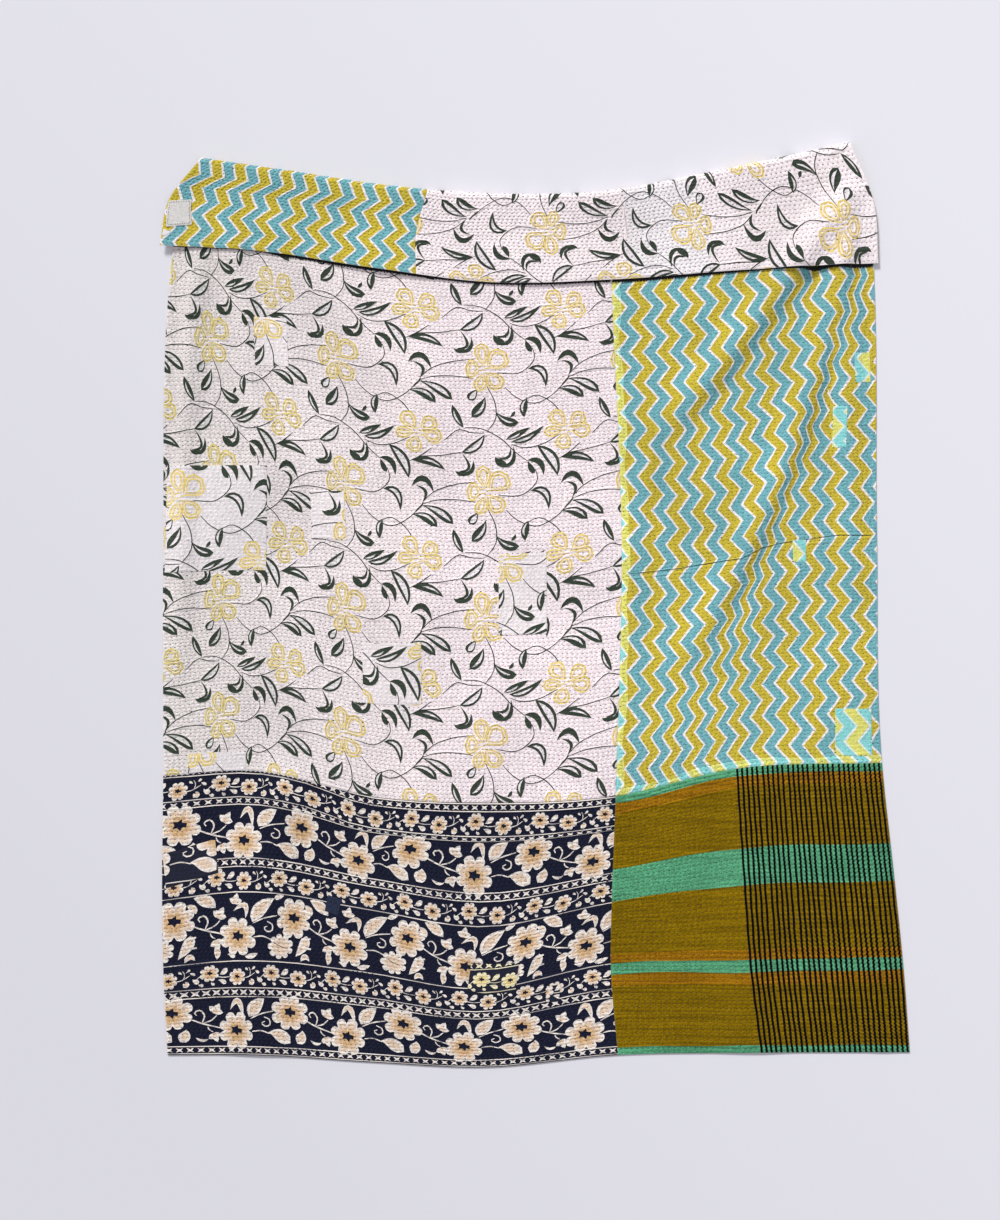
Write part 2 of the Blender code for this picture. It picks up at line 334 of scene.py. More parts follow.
    def bend(self, across: Array, along: Array, step: float) -> Array:
        """How far the surface leaves a straight line over one step to either side, in metres."""
        here = self.middle(across, along)[:, 2]
        found = np.zeros(len(across))
        for way in ((step, 0), (0, step)):
            sides = [self.middle(across + s * way[0], along + s * way[1])[:, 2] for s in (-1, 1)]
            found = np.maximum(found, np.abs(sides[0] + sides[1] - 2 * here) / 2)
        return found

    def centre(self) -> None:
        """Moves the throw so that the middle of its box stands over the origin, as its solids do."""
        rim = np.linspace(0, 1, 400)
        across = np.concatenate([rim, rim, rim, rim * 0, rim * 0 + 1]) * QUILT_WIDTH
        turned = rim * 0 + BODY_LENGTH + TURN_LENGTH / 2
        sides = rim * QUILT_LENGTH
        along = np.concatenate([rim * 0, turned, rim * 0 + QUILT_LENGTH, sides, sides])
        points = self.points(across, along, np.full(len(across), -HALF_THICKNESS))
        middle = (points.min(axis=0) + points.max(axis=0)) / 2
        self.shift = (-float(middle[0]), -float(middle[1]))


@dataclass
class Quilting:
    """The close rows of running stitch and the soft ridges that they raise between them."""

    row_pitch: float = 0.0068
    stitch_pitch: float = 0.0088
    stitch_length: float = 0.0034
    stitch_width: float = 0.0015
    stitch_height: float = 0.0005
    pucker: float = 0.0015
    dimple: float = 0.0008

    def wander(self, across: Array, along: Array) -> Array:
        """How far the hand-sewn rows stray from straight, in metres."""
        return (
            0.0014 * np.sin(across * 17 + along * 7.1)
            + 0.0009 * np.sin(across * 41 - along * 12.7 + 1.3)
            + 0.0004 * np.sin(across * 103 + along * 31 + 0.4)
        )

    def row_places(self, start: float, end: float) -> Array:
        """Numbers of the rows whose straight line lies between two places along the throw."""
        return np.arange(math.ceil(start / self.row_pitch - 0.5), math.floor(end / self.row_pitch - 0.5) + 1)

    def row_line(self, row: Array, across: Array) -> Array:
        """Where a row runs: along, for each across."""
        straight = (row + 0.5) * self.row_pitch
        return straight + self.wander(across, straight)

    def phase(self, row: Array) -> Array:
        """Where a row's first stitch starts, as a share of the stitch pitch. Neighbours nearly line up."""
        drift = np.sin(row * 0.37) * 0.6 + np.sin(row * 1.9 + 2) * 0.2
        return drift + 0.12 * np.sin(row * 12.9898)

    def height(self, across: Array, along: Array) -> Array:
        """The quilted face's rise above its stitch rows, in metres."""
        straight = (along - self.wander(across, along)) / self.row_pitch - 0.5
        row = np.round(straight)
        away = np.abs(straight - row) * 2
        swell = 0.62 + 0.22 * np.sin(across * 143 + row * 2.4) + 0.16 * np.sin(across * 391 - row * 4.1)
        stitch = across / self.stitch_pitch - self.phase(row)
        near = np.abs(stitch - np.round(stitch)) * 2
        dip = self.dimple * smooth_step(1 - near * 1.6) * smooth_step(1 - away * 1.7)
        return self.pucker * swell * (1 - (1 - away) ** 2) - dip


class Motif(NamedTuple):
    """A printed shape: its colour and its outline in cloth metres."""

    colour: str
    outline: Array


class Layer(Enum):
    """What a print lays down first and last."""

    STEM = 1
    LEAF = 2
    BLOOM = 3


def ccw(outline: Array) -> Array:
    """The outline in counter-clockwise order."""
    x, y = outline.T
    area = np.sum(x * np.roll(y, -1) - y * np.roll(x, -1))
    return outline if area > 0 else outline[::-1]


def rounded_path(places: list[Pair], spacing: float) -> Array:
    """A smooth path through a few places.

    Args:
        places: Corners of the path, in any unit.
        spacing: Distance between the points that come back, in the same unit.

    Returns:
        Points on the path, a row each.
    """
    knots = np.array(places, float)
    run = np.concatenate([[0], np.cumsum(np.linalg.norm(np.diff(knots, axis=0), axis=1))])
    at = np.linspace(0, run[-1], max(3, round(run[-1] / spacing) + 1))
    if len(knots) < 3:
        return np.stack([np.interp(at, run, knots[:, k]) for k in (0, 1)], axis=1)
    return np.stack([spline(run, knots[:, [k]], at) for k in (0, 1)], axis=1)


def ribbon(path: Array, width: float, taper: float = 0.4) -> Array:
    """The outline of a stroke of ink along a path, finer at its ends."""
    heading = np.gradient(path, axis=0)
    heading /= np.linalg.norm(heading, axis=1, keepdims=True)
    aside = rows_of(-heading[:, 1], heading[:, 0])
    share = np.linspace(0, 1, len(path))
    half = width / 2 * (1 - taper + taper * np.sin(math.pi * share) ** 0.6)
    edge = aside * half[:, None]
    return np.concatenate([path + edge, (path - edge)[::-1]])


class Blade(NamedTuple):
    """A leaf or petal: base, spine middle and tip, full width, and whether its tip is round."""

    base: Pair
    middle: Pair
    tip: Pair
    width: float
    round_tip: bool = False

    def outline(self, low: float, high: float, start: float, end: float, steps: int) -> Array:
        """The part of the blade between two offsets from its spine.

        Args:
            low: Right-hand edge as a share of the half width, from -1 to 1.
            high: Left-hand edge.
            start: Where it begins along the spine, from 0 to 1.
            end: Where it ends.
            steps: Number of stretches along each edge.

        Returns:
            The closed outline.
        """
        base, middle, tip = (np.array(p, float) for p in (self.base, self.middle, self.tip))
        control = 2 * middle - (base + tip) / 2
        t = (start + (end - start) * np.linspace(0, 1, steps + 1))[:, None]
        spine = base * (1 - t) ** 2 + control * 2 * t * (1 - t) + tip * t**2
        heading = 2 * (1 - t) * (control - base) + 2 * t * (tip - control)
        heading /= np.linalg.norm(heading, axis=1, keepdims=True)
        aside = rows_of(-heading[:, 1], heading[:, 0])
        if self.round_tip:
            rise = np.sin(np.clip(t / 0.64, 0, 1) * math.pi / 2) ** 1.2
            fall = np.sqrt(np.clip(1 - ((t - 0.64) / 0.36) ** 2, 0, 1))
            belly = np.where(t < 0.64, rise, fall)
        else:
            belly = np.sin(math.pi * t**0.92) ** 0.8
        if start > 0:
            belly = belly * np.sqrt(np.clip(np.sin(math.pi * (t - start) / (end - start)), 0, 1))
        half = np.nan_to_num(belly) * self.width / 2
        edges = [spine + aside * half * side for side in (high, low)]
        return np.concatenate([edges[0], edges[1][::-1][1:-1]])


class Leaf(NamedTuple):
    """A vine leaf: its blade, and its light's offset, half breadth, start and end as shares."""

    blade: Blade
    light: float = 0.0
    breadth: float = 0.0
    light_start: float = 0.0
    light_end: float = 0.0


class Pull(NamedTuple):
    """A soft pull on a print: its middle in the cloth, how far it moves things, and its reach, all in mm."""

    across: float
    along: float
    right: float
    up: float
    reach_across: float
    reach_along: float


# How the folds and the hand-cut edges draw the two head prints out of their even repeats.
VINE_PULLS = (
    Pull(-50, 410, 50, -1, 360, 1190),
    Pull(-90, 1410, 29, 18, 530, 1010),
    Pull(220, 1590, -30, -15, 420, 700),
    Pull(520, 830, -16, -12, 310, 580),
    Pull(460, 500, 6, 8, 310, 360),
    Pull(900, 500, 0, 12, 290, 370),
    Pull(690, 1420, 5, -7, 410, 1380),
)
ZIGZAG_PULLS = (
    Pull(980, 610, 0, -28, 230, 1410),
    Pull(1310, 1480, 0, 22, 300, 550),
    Pull(950, 860, 0, -13, 230, 350),
    Pull(1240, 420, 0, -27, 240, 740),
)
TURNDOWN_PULLS = (Pull(1280, 1690, -12, 50, 480, 900),)


def pulled(outline: Array, pulls: tuple[Pull, ...]) -> Array:
    """An outline in cloth millimetres, moved by the pulls on it."""
    x, y = outline.T
    moved = outline.astype(float)
    for pull in pulls:
        share = smooth_step(1 - np.abs(x - pull.across) / pull.reach_across)
        share = share * smooth_step(1 - np.abs(y - pull.along) / pull.reach_along)
        moved = moved + share[:, None] * (pull.right, pull.up)
    return moved


def extent(outline: Array) -> tuple[Array, Array]:
    """The least and the greatest across and along of an outline."""
    return outline.min(axis=0), outline.max(axis=0)


def meets(outline: Array, low: Array, high: Array) -> bool:
    """Whether the box round an outline meets the box from low to high."""
    least, greatest = extent(outline)
    return bool((greatest > low).all() and (least < high).all())


class EvenDye:
    """A cloth whose colours are alike all over."""

    def fresh(self, colour: str) -> str:
        """The colour where the cloth hasn't faded."""
        return colour


@dataclass
class VinePrint:
    """Trailing vine with open yellow blossoms, block printed on pale pink cotton."""

    ground: str = "FAECED"
    ink: str = "384336"
    stem_ink: str = "2C342F"
    light: str = "EFE6E8"
    yellow: str = "E9D07E"
    greyed_ground: str = "F3ECEC"
    tile: Pair = (257, 226)  # mm
    blossom_at: Pair = (320, 1268)  # mm: one first blossom in the cloth
    mirrored: bool = False
    pulls: tuple[Pull, ...] = ()
    stem_width: float = 1.9
    first_blossom: Pair = (0, 3)
    second_blossom: Pair = (142, -116)
    leaves: tuple[Leaf, ...] = (
        Leaf(Blade((-11, -32), (-20, -44), (-27, -54), 16, True), 0.15, 0.55, 0.14, 0.88),
        Leaf(Blade((1, -47), (-7, -67), (-23, -85), 19, True), 0.3, 0.27, 0.12, 0.9),
        Leaf(Blade((-37, -105), (-49, -83), (-55.5, -63), 13), 0.35, 0.24, 0.12, 0.75),
        Leaf(Blade((17.5, -74), (36, -93), (58, -96.5), 17, True), 0.0, 0.2, 0.12, 0.8),
        Leaf(Blade((44, -86), (49, -81), (51.5, -75), 6)),
        Leaf(Blade((73, -52), (67, -70), (68, -88), 14), -0.4, 0.27, 0.08, 0.75),
        Leaf(Blade((-41, -150), (-17, -139), (-1, -117), 17), -0.05, 0.5, 0.1, 0.92),
        Leaf(Blade((36, -127), (55, -119), (78, -107), 12), -0.3, 0.27, 0.08, 0.62),
        Leaf(Blade((45, -131), (72, -127), (102, -106), 13), -0.05, 0.32, 0.1, 0.72),
        # A bent stalk with an arching leaf over it.
        Leaf(Blade((-109, -15), (-104, 3), (-122, 13), 6)),
        Leaf(Blade((-129, 11), (-107, 26), (-89, 1), 11)),
        # Broad leaves with a light middle.
        Leaf(Blade((-111, -22), (-81, -33), (-55, -54), 18, True), 0.1, 0.45, 0.12, 0.9),
        Leaf(Blade((-130, -40), (-105, -43), (-83, -60), 17, True), 0.32, 0.28, 0.1, 0.88),
        Leaf(Blade((-127, -168), (-97, -168), (-69, -183), 15), 0.15, 0.24, 0.3, 0.85),
        Leaf(Blade((-168, -142), (-143, -168), (-134, -201), 21), 0.0, 0.5, 0.1, 0.9),
        Leaf(Blade((76, 2), (101, -3), (107, -35), 15), 0.0, 0.4, 0.15, 0.85),
        # A leaf that hangs under a sickle, and two hooks of a heavy leaf under bent tips.
        Leaf(Blade((73, -169), (77, -181), (84, -193), 10, True)),
        Leaf(Blade((71, -168), (93, -173), (99, -198), 11)),
        Leaf(Blade((17, -158), (23, -168), (38, -176), 13, True)),
        Leaf(Blade((20, -160), (39, -160), (43, -142), 5.5)),
        Leaf(Blade((24, -176), (46, -169), (48, -140), 8)),
        Leaf(Blade((-52, -184), (-43, -189), (-30, -186), 9, True)),
        Leaf(Blade((-46, -184), (-28, -177), (-41, -150), 5.5)),
        Leaf(Blade((-42, -192), (-24, -184), (-21, -164), 7.5)),
    )
    stems: tuple[tuple[Pair, ...], ...] = (
        ((35, -30), (52, -48), (88, -63), (122, -47), (140, -29)),
        ((68, -57), (88, -48), (112, -60), (140, -98)),
        ((4, -27), (18, -60), (18, -90), (3, -112)),
        ((-34, -104), (-12, -105), (24, -123), (54, -154), (72, -169)),
        ((-1, -115), (-26, -113), (-42, -108), (-71, -129)),
        ((-109, -16), (-92, 1), (-61, 15), (-15, 23)),
        ((-110, -20), (-89, -13), (-48, -10), (-18, -14)),
        ((85, -185), (89, -202), (63, -230), (22, -229)),
        ((45, -137), (65, -144), (95, -141), (127, -126)),
        ((-93, -144), (-112, -159), (-132, -170)),
        ((-41, -150), (-79, -157), (-113, -160)),
    )
    thick_stem: tuple[Pair, ...] = ((134.7, -34.8), (140, -28.7), (146, -22.7), (149, -16.6))
    thick_width: float = 3.4
    petal_fullness: float = 1.12
    least_ring: float = 2.5  # mm: a petal's rings stop short of this breadth
    # Petals of the two blossoms: direction in degrees, length and width in mm.
    first_petals: tuple[Triple, ...] = (
        (175, 33, 32), (-105, 42, 21), (-50, 47, 28), (96, 50, 24), (38, 50, 36),
    )
    second_petals: tuple[Triple, ...] = (
        (-107, 39, 26), (184, 41, 20), (-12, 43, 26), (126, 45, 26), (40, 41, 26),
    )
    # The strokes in a blossom's heart: middle, length and breadth in mm.
    heart_strokes: tuple[tuple[float, float, float, float], ...] = (
        (-3, 7, 8, 2.6), (5, 2.5, 9, 2.8), (-4.5, -1.5, 8, 2.6), (3, -6, 8, 2.6),
    )

    def petal(self, centre: Array, turn: float, length: float, width: float) -> list[tuple[Layer, Motif]]:
        """One open petal: two loops of broad yellow line, one inside the other."""
        way = np.array([math.cos(math.radians(turn)), math.sin(math.radians(turn))])
        # Where each starts, and how much shorter and narrower it is than the petal.
        rings = (
            (4, 0, 0, self.yellow), (8.4, 3.8, 7.6, self.ground),
            (10.6, 6.0, 11.6, self.yellow), (14, 9.4, 18.4, self.ground),
        )
        found = []
        for start, short, narrow, colour in rings:
            breadth = width * self.petal_fullness - narrow
            if breadth < self.least_ring:
                break
            ends = (centre + way * start, centre + way * (length - short))
            blade = Blade(tuple(ends[0]), tuple((ends[0] + ends[1]) / 2), tuple(ends[1]), breadth, True)
            found.append((Layer.BLOOM, Motif(colour, blade.outline(-1, 1, 0, 1, 7))))
        return found

    def blossom(self, centre: Array, petals: tuple) -> list[tuple[Layer, Motif]]:
        """An open blossom: its petals, and short yellow strokes in its heart."""
        found = []
        for turn, length, width in petals:
            found += self.petal(centre, turn, length, width)
        rim = np.arange(8) * math.pi / 4
        heart = centre + rows_of(9.5 * np.cos(rim), 10.0 * np.sin(rim))
        found.append((Layer.BLOOM, Motif(self.ground, heart)))
        for x, y, length, breadth in self.heart_strokes:
            middle = centre + (x, y)
            stroke = np.array([middle - (length / 2, 0.6), middle, middle + (length / 2, 0.6)])
            found.append((Layer.BLOOM, Motif(self.yellow, ribbon(stroke, breadth))))
        return found

    def tile_motifs(self) -> list[tuple[Layer, Motif]]:
        """The shapes of one repeat, in millimetres from its first blossom."""
        found = []
        for stem in self.stems:
            path = rounded_path(list(stem), 9)
            found.append((Layer.STEM, Motif(self.stem_ink, ribbon(path, self.stem_width))))
        path = rounded_path(list(self.thick_stem), 6)
        found.append((Layer.LEAF, Motif(self.ink, ribbon(path, self.thick_width))))
        for leaf in self.leaves:
            found.append((Layer.LEAF, Motif(self.ink, leaf.blade.outline(-1, 1, 0, 1, 7))))
            if leaf.light_end:
                low, high = leaf.light - leaf.breadth, leaf.light + leaf.breadth
                sliver = leaf.blade.outline(low, high, leaf.light_start, leaf.light_end, 5)
                found.append((Layer.LEAF, Motif(self.light, sliver)))
        found += self.blossom(np.array(self.first_blossom, float), self.first_petals)
        return found + self.blossom(np.array(self.second_blossom, float), self.second_petals)

    def motifs(self, low: Array, high: Array) -> list[Motif]:
        """The print over a rectangle of cloth.

        Args:
            low: Least across and along, in metres.
            high: Greatest across and along.

        Returns:
            Printed shapes, the lowest layer first.
        """
        shapes = self.tile_motifs()
        width, length = self.tile
        low, high = low / MM, high / MM
        laid = []
        sign = -1 if self.mirrored else 1
        columns = range(math.floor((low[0] - self.blossom_at[0]) / width) - 2, 3 + math.ceil(high[0] / width))
        rows = range(math.floor((low[1] - self.blossom_at[1]) / length) - 1, 3 + math.ceil(high[1] / length))
        for column in columns:
            for row in rows:
                origin = np.array([self.blossom_at[0] + column * width, self.blossom_at[1] + row * length])
                for layer, motif in shapes:
                    outline = pulled(origin + motif.outline * (sign, 1), self.pulls)
                    if meets(outline, low, high):
                        laid.append((layer.value, Motif(motif.colour, outline * MM)))
        laid.sort(key=lambda entry: entry[0])
        return [motif for _, motif in laid]

    def fresh(self, colour: str) -> str:
        """The colour where a later washing has taken the pink out of the ground."""
        return self.greyed_ground if colour == self.ground else colour


class Tuck(NamedTuple):
    """A slanting fold that takes cloth in: its middle, its take and its reach, at the foot and the head."""

    foot: float
    head: float
    taken_at_foot: float
    taken_at_head: float
    reach_at_foot: float
    reach_at_head: float


@dataclass
class ZigzagPrint:
    """Upright zigzag bands of teal and mustard on pale pink cotton."""

    ground: str = "F4EBEA"
    teal: str = "74B2B9"
    mustard: str = "CBB73A"
    fresh_ground: str = "F5F8F2"
    fresh_teal: str = "8ED8D6"
    fresh_mustard: str = "E2E074"
    repeat: float = 46.8  # mm
    band: float = 19.0
    swing: float = 11.5
    rise: float = 55.3
    mustard_at: float = 855.0
    right_tip_at: float = 1365.0
    ragged: float = 0.45  # mm that the printed edges waver
    steps_per_rise: int = 8
    tucks: tuple[Tuck, ...] = ()
    tucks_ease_by: float = 0.34  # share of the panel's length over which the tucks open out at the foot
    lean: float = 0.0  # mm that the print leans to the left by the head
    pulls: tuple[Pull, ...] = ()
    all_fresh: bool = False

    def laid(self, outline: Array) -> Array:
        """An outline in cloth millimetres where the pulls and the tucks bring it."""
        x, y = pulled(outline, self.pulls).T
        up = (y - CROSS_SEAM / MM) / ((TUCKED_UNDER - CROSS_SEAM) / MM)
        x = x - self.lean * up
        for tuck in self.tucks:
            middle = tuck.foot + (tuck.head - tuck.foot) * up
            more = tuck.taken_at_head - tuck.taken_at_foot
            taken = tuck.taken_at_foot + more * smooth_step((up - 0.5) * 2)
            wider = tuck.reach_at_foot - tuck.reach_at_head
            reach = tuck.reach_at_head + wider * smooth_step(1 - up / self.tucks_ease_by)
            x = x - taken * smooth_step((x - middle) / (2 * reach) + 0.5)
        return rows_of(x, y)

    def motifs(self, low: Array, high: Array) -> list[Motif]:
        """The print over a rectangle of cloth, as VinePrint.motifs."""
        low, high = low / MM, high / MM
        rows = np.arange(
            math.floor((self.right_tip_at - high[1]) / self.rise) - 2,
            math.ceil((self.right_tip_at - low[1]) / self.rise) + 2, 1 / self.steps_per_rise,
        )
        along = self.right_tip_at - rows * self.rise
        lean = (1 - 4 * np.abs(rows - np.round(rows))) * self.swing
        first = math.floor((low[0] - self.mustard_at) / self.repeat) - 1
        bands = math.ceil((high[0] - low[0]) / self.repeat) + 5
        found = []
        for k, colour in itertools.product(range(bands), (self.mustard, self.teal)):
            place = first + k + (0.5 if colour == self.teal else 0)
            waver = self.ragged * (np.sin(along * 0.83 + place * 2.1) + np.sin(along * 0.31 + place))
            middle = self.mustard_at + place * self.repeat + lean
            left = rows_of(middle - self.band / 2 + waver, along)
            right = rows_of(middle + self.band / 2 + np.roll(waver, 3), along)
            outline = self.laid(np.concatenate([left, right[::-1]])) * MM
            if meets(outline, low * MM, high * MM):
                found.append(Motif(self.fresh(colour) if self.all_fresh else colour, outline))
        return found

    def fresh(self, colour: str) -> str:
        """The colour where the cloth hasn't faded."""
        pairs = {self.teal: self.fresh_teal, self.mustard: self.fresh_mustard, self.ground: self.fresh_ground}
        return pairs.get(colour, colour)


# Stems and leaves of the flower borders: places in mm from a repeat's first flower and the border's middle,
# and then the width.
SPRIG_STEMS = (
    ((-22, -6), (-12, 2), (0, 2), 1.4),
    ((5, 0), (24, -4), (36, -3), 1.4),
    ((58, -6), (70, -4), (84, 4), 1.4),
    ((74, -2), (76, 7), (73, 13), 1.2),
)
SPRIG_LEAVES = (
    ((17, 1), (24, 5), (31, 12), 9),
    ((14, -8), (22, -11), (28, -15), 8),
    ((76, -7), (78, -11), (73, -17), 10),
    ((88, -3), (92, -8), (98, -9), 9),
    ((84, 8), (88, 6), (92, 3), 5),
    ((78, 9), (82, 12), (84, 15), 4),
    ((72, 7), (69, 10), (66, 11), 4),
    ((96, -14), (100, -16), (104, -15), 6),
    ((2, -12), (4, -15), (8, -16), 5),
)
BIG_STEMS = (
    ((28, 6), (45, 14), (72, 21), 2.2),
    ((54, 10), (64, 5), (64, -4), (55, -7), (49, -1), (55, 2), 2.4),
    ((30, -17), (46, -15), (62, -20), 2.2),
    ((128, 9), (150, -2), (178, -11), 2.6),
    ((150, 0), (154, 14), (147, 23), (139, 19), (142, 13), 2.6),
    ((152, -1), (164, 3), (174, 12), 2.2),
    ((158, -8), (160, -14), (166, -18), 2.2),
)
BIG_LEFT = (((15, 8), (7, 38), (-9, 22), 11), ((26, 10), (38, 27), (57, 43), 24))
BIG_LOW = (((60, -18), (80, -22), (100, -36), 24), ((124, -12), (122, -23), (113, -36), 19))
BIG_OUTER = (((138, -28), (148, -34), (158, -31), 5),)
TALL_HIGH = (((166, 34), (150, 48), (132, 55), 20), ((136, 28), (131, 38), (122, 44), 11))
TALL_LEFT = (
    ((14, 14), (12, 36), (-10, 26), 10),
    ((27, 8), (40, 30), (66, 50), 24),
    ((66, 48), (74, 53), (84, 57), 9),
)
TALL_VEIN = (((66, -24), (78, -30), (92, -34), 1.2),)
TALL_BENT = (((128, -8), (124, -24), (108, -47), 18),)
TALL_HOOK = (((136, -12), (119, -17), (122, -28), (137, -30), 4.5),)
TALL_OUTER = (((166, -30), (170, -42), (168, -54), 11),)
TALL_TUCKED = (((-20, -46), (-12, -47), (-6, -52), 9),)
TALL_LOW = (((14, -50), (26, -49), (38, -44), 9), ((118, -54), (126, -45), (134, -52), 10))
# The torn dark heart of a flower, as shares of its radius.
TORN_HEART = (
    (0.34, 0.1), (0.12, 0.14), (0.1, 0.34), (-0.1, 0.2), (-0.32, 0.22), (-0.24, 0.02),
    (-0.34, -0.14), (-0.1, -0.12), (0.04, -0.3), (0.12, -0.1), (0.3, -0.14),
)


class Band(Enum):
    """Kinds of flower border, by height."""

    CHAIN = 1
    SMALL = 2
    BIG = 3
    TALL = 4
    LINE = 5


@dataclass
class BorderPrint(EvenDye):
    """Flower borders between chains of crosses, resist printed on navy cotton."""

    ground: str = "1B1E30"
    cream: str = "E8DFD5"
    blush: str = "E0C8B0"
    peach: str = "D2AF84"
    line: float = 1.7  # mm
    chain_pitch: float = 17.0
    small_period: float = 114.5
    big_period: float = 208.0
    small_radius: float = 14.5
    big_radius: float = 32.0
    lobes: int = 8
    veined_from: float = 9.0  # leaves wider than this have a blush middle
    path_spacing: float = 5.0
    # Kind, lower and upper edge along the throw, and where its first flower stands across, in mm.
    bands: tuple[tuple[Band, float, float, float], ...] = (
        (Band.CHAIN, 1.5, 16.5, 6),
        (Band.BIG, 18, 105, 137),
        (Band.CHAIN, 105.5, 123, 3),
        (Band.SMALL, 124, 166, 95),
        (Band.LINE, 168, 170, 0),
        (Band.TALL, 170, 283, 147),
        (Band.LINE, 284, 286, 0),
        (Band.SMALL, 288, 326, 106),
        (Band.CHAIN, 327.5, 343.5, 0),
        (Band.BIG, 344, 433, 153),
        (Band.CHAIN, 433.5, 448, 4),
        (Band.SMALL, 449, 487, 108),
        (Band.CHAIN, 488, 503, 2),
    )
    width: float = FRONT_SEAM / MM
    slip: float = 11.0  # mm that the top of the print drops on its right-hand part
    slip_from: float = 250.0
    slip_to: float = 370.0
    slip_above: float = 418.0
    pulls: tuple[Pull, ...] = (Pull(0, 250, -26, 0, 130, 900), Pull(455, 390, -14, 0, 90, 80))

    def scallops(self, centre: Pair, radius: float, lobes: int, colour: str) -> Motif:
        """A round flower outline with a scalloped edge."""
        turn = np.arange(lobes * 6) / (lobes * 6) * 2 * math.pi
        reach = radius * (0.74 + 0.29 * np.abs(np.sin(turn * lobes / 2)) ** 0.5)
        uneven = 1 + 0.06 * np.sin(turn * 2 + centre[0])
        return Motif(colour, np.array(centre) + (reach * uneven * np.array([np.cos(turn), np.sin(turn)])).T)

    def flower(self, x: float, y: float, radius: float) -> list[Motif]:
        """A flower that deepens from a cream edge to a peach middle, round a dark heart."""
        return [
            self.scallops((x, y), radius * 1.03, self.lobes, self.cream),
            self.scallops((x, y - radius * 0.04), radius * 0.82, self.lobes, self.blush),
            self.scallops((x, y - radius * 0.06), radius * 0.54, self.lobes, self.peach),
            Motif(self.ground, np.array(TORN_HEART) * radius + (x, y)),
        ]

    def leaf(
        self, base: tuple, middle: tuple, tip: tuple, width: float, round_tip: bool = False
    ) -> list[Motif]:
        """A cream leaf with a blush middle."""
        blade = Blade(base, middle, tip, width, round_tip)
        found = [Motif(self.cream, blade.outline(-1, 1, 0, 1, 7))]
        if width > self.veined_from:
            found.append(Motif(self.blush, blade.outline(-0.6, 0.6, 0.15, 0.85, 5)))
        return found

    def stems(self, x: float, y: float, table: tuple[tuple, ...]) -> list[Motif]:
        """Stems of a table, laid from a place.

        Args:
            x: Where the table counts across from, in mm.
            y: Where it counts along from.
            table: For each stem its places and then its width.

        Returns:
            The stems.
        """
        found = []
        for *places, width in table:
            path = rounded_path([(x + right, y + up) for right, up in places], self.path_spacing)
            found.append(Motif(self.cream, ribbon(path, width)))
        return found

    def leaves(self, x: float, y: float, table: tuple[tuple, ...], round_tip: bool = False) -> list[Motif]:
        """Leaves of a table, laid from a place, as stems() lays stems."""
        found = []
        for *places, width in table:
            found += self.leaf(*[(x + right, y + up) for right, up in places], width, round_tip)
        return found

    def trefoil(self, x: float, y: float, size: float, turn: float) -> list[Motif]:
        """A leaf of three points."""
        found = []
        for lean, length in ((-75, 0.85), (0, 1.0), (75, 0.85)):
            way = math.radians(turn + lean)
            tip = (x + size * length * math.cos(way), y + size * length * math.sin(way))
            base = (x - 0.28 * size * math.cos(way), y - 0.28 * size * math.sin(way))
            middle = ((tip[0] + base[0]) / 2, (tip[1] + base[1]) / 2)
            found.append(Motif(self.cream, Blade(base, middle, tip, size * 0.72).outline(-1, 1, 0, 1, 5)))
        return found + [self.scallops((x, y), size * 0.3, 4, self.blush)]

    def chain(self, low: float, high: float, first: float) -> list[Motif]:
        """A row of small crosses between two cream lines."""
        found = [self.rule(low + self.line / 2), self.rule(high - self.line / 2)]
        middle = (low + high) / 2
        size = (high - low - 2 * self.line) / 2
        turns = np.arange(8) * math.pi / 4 + math.pi / 4
        reach = np.where(np.arange(8) % 2 == 0, 1.25, 0.42)
        cross = (reach * np.array([np.cos(turns) * 1.15, np.sin(turns) * 0.85])).T * size
        for x in np.arange(first, self.width + self.chain_pitch, self.chain_pitch):
            found.append(Motif(self.cream, cross + (x, middle)))
        return found

    def rule(self, y: float) -> Motif:
        """A thin cream line right across the panel."""
        x = np.arange(-20, self.width + 40, 40)
        low = rows_of(x, x * 0 + y - self.line / 2)
        high = rows_of(x, x * 0 + y + self.line / 2)
        return Motif(self.cream, np.concatenate([low, high[::-1]]))

    def small_flowers(self, low: float, high: float, first: float) -> list[Motif]:
        """A running sprig with pairs of little flowers."""
        middle = (low + high) / 2
        found = []
        for x in np.arange(first - self.small_period, self.width + self.small_period, self.small_period):
            found += self.stems(x, middle, SPRIG_STEMS) + self.leaves(x, middle, SPRIG_LEAVES, True)
            found += self.flower(x, middle + 4, self.small_radius)
            found += self.flower(x + 50, middle - 3.5, self.small_radius)
        return found

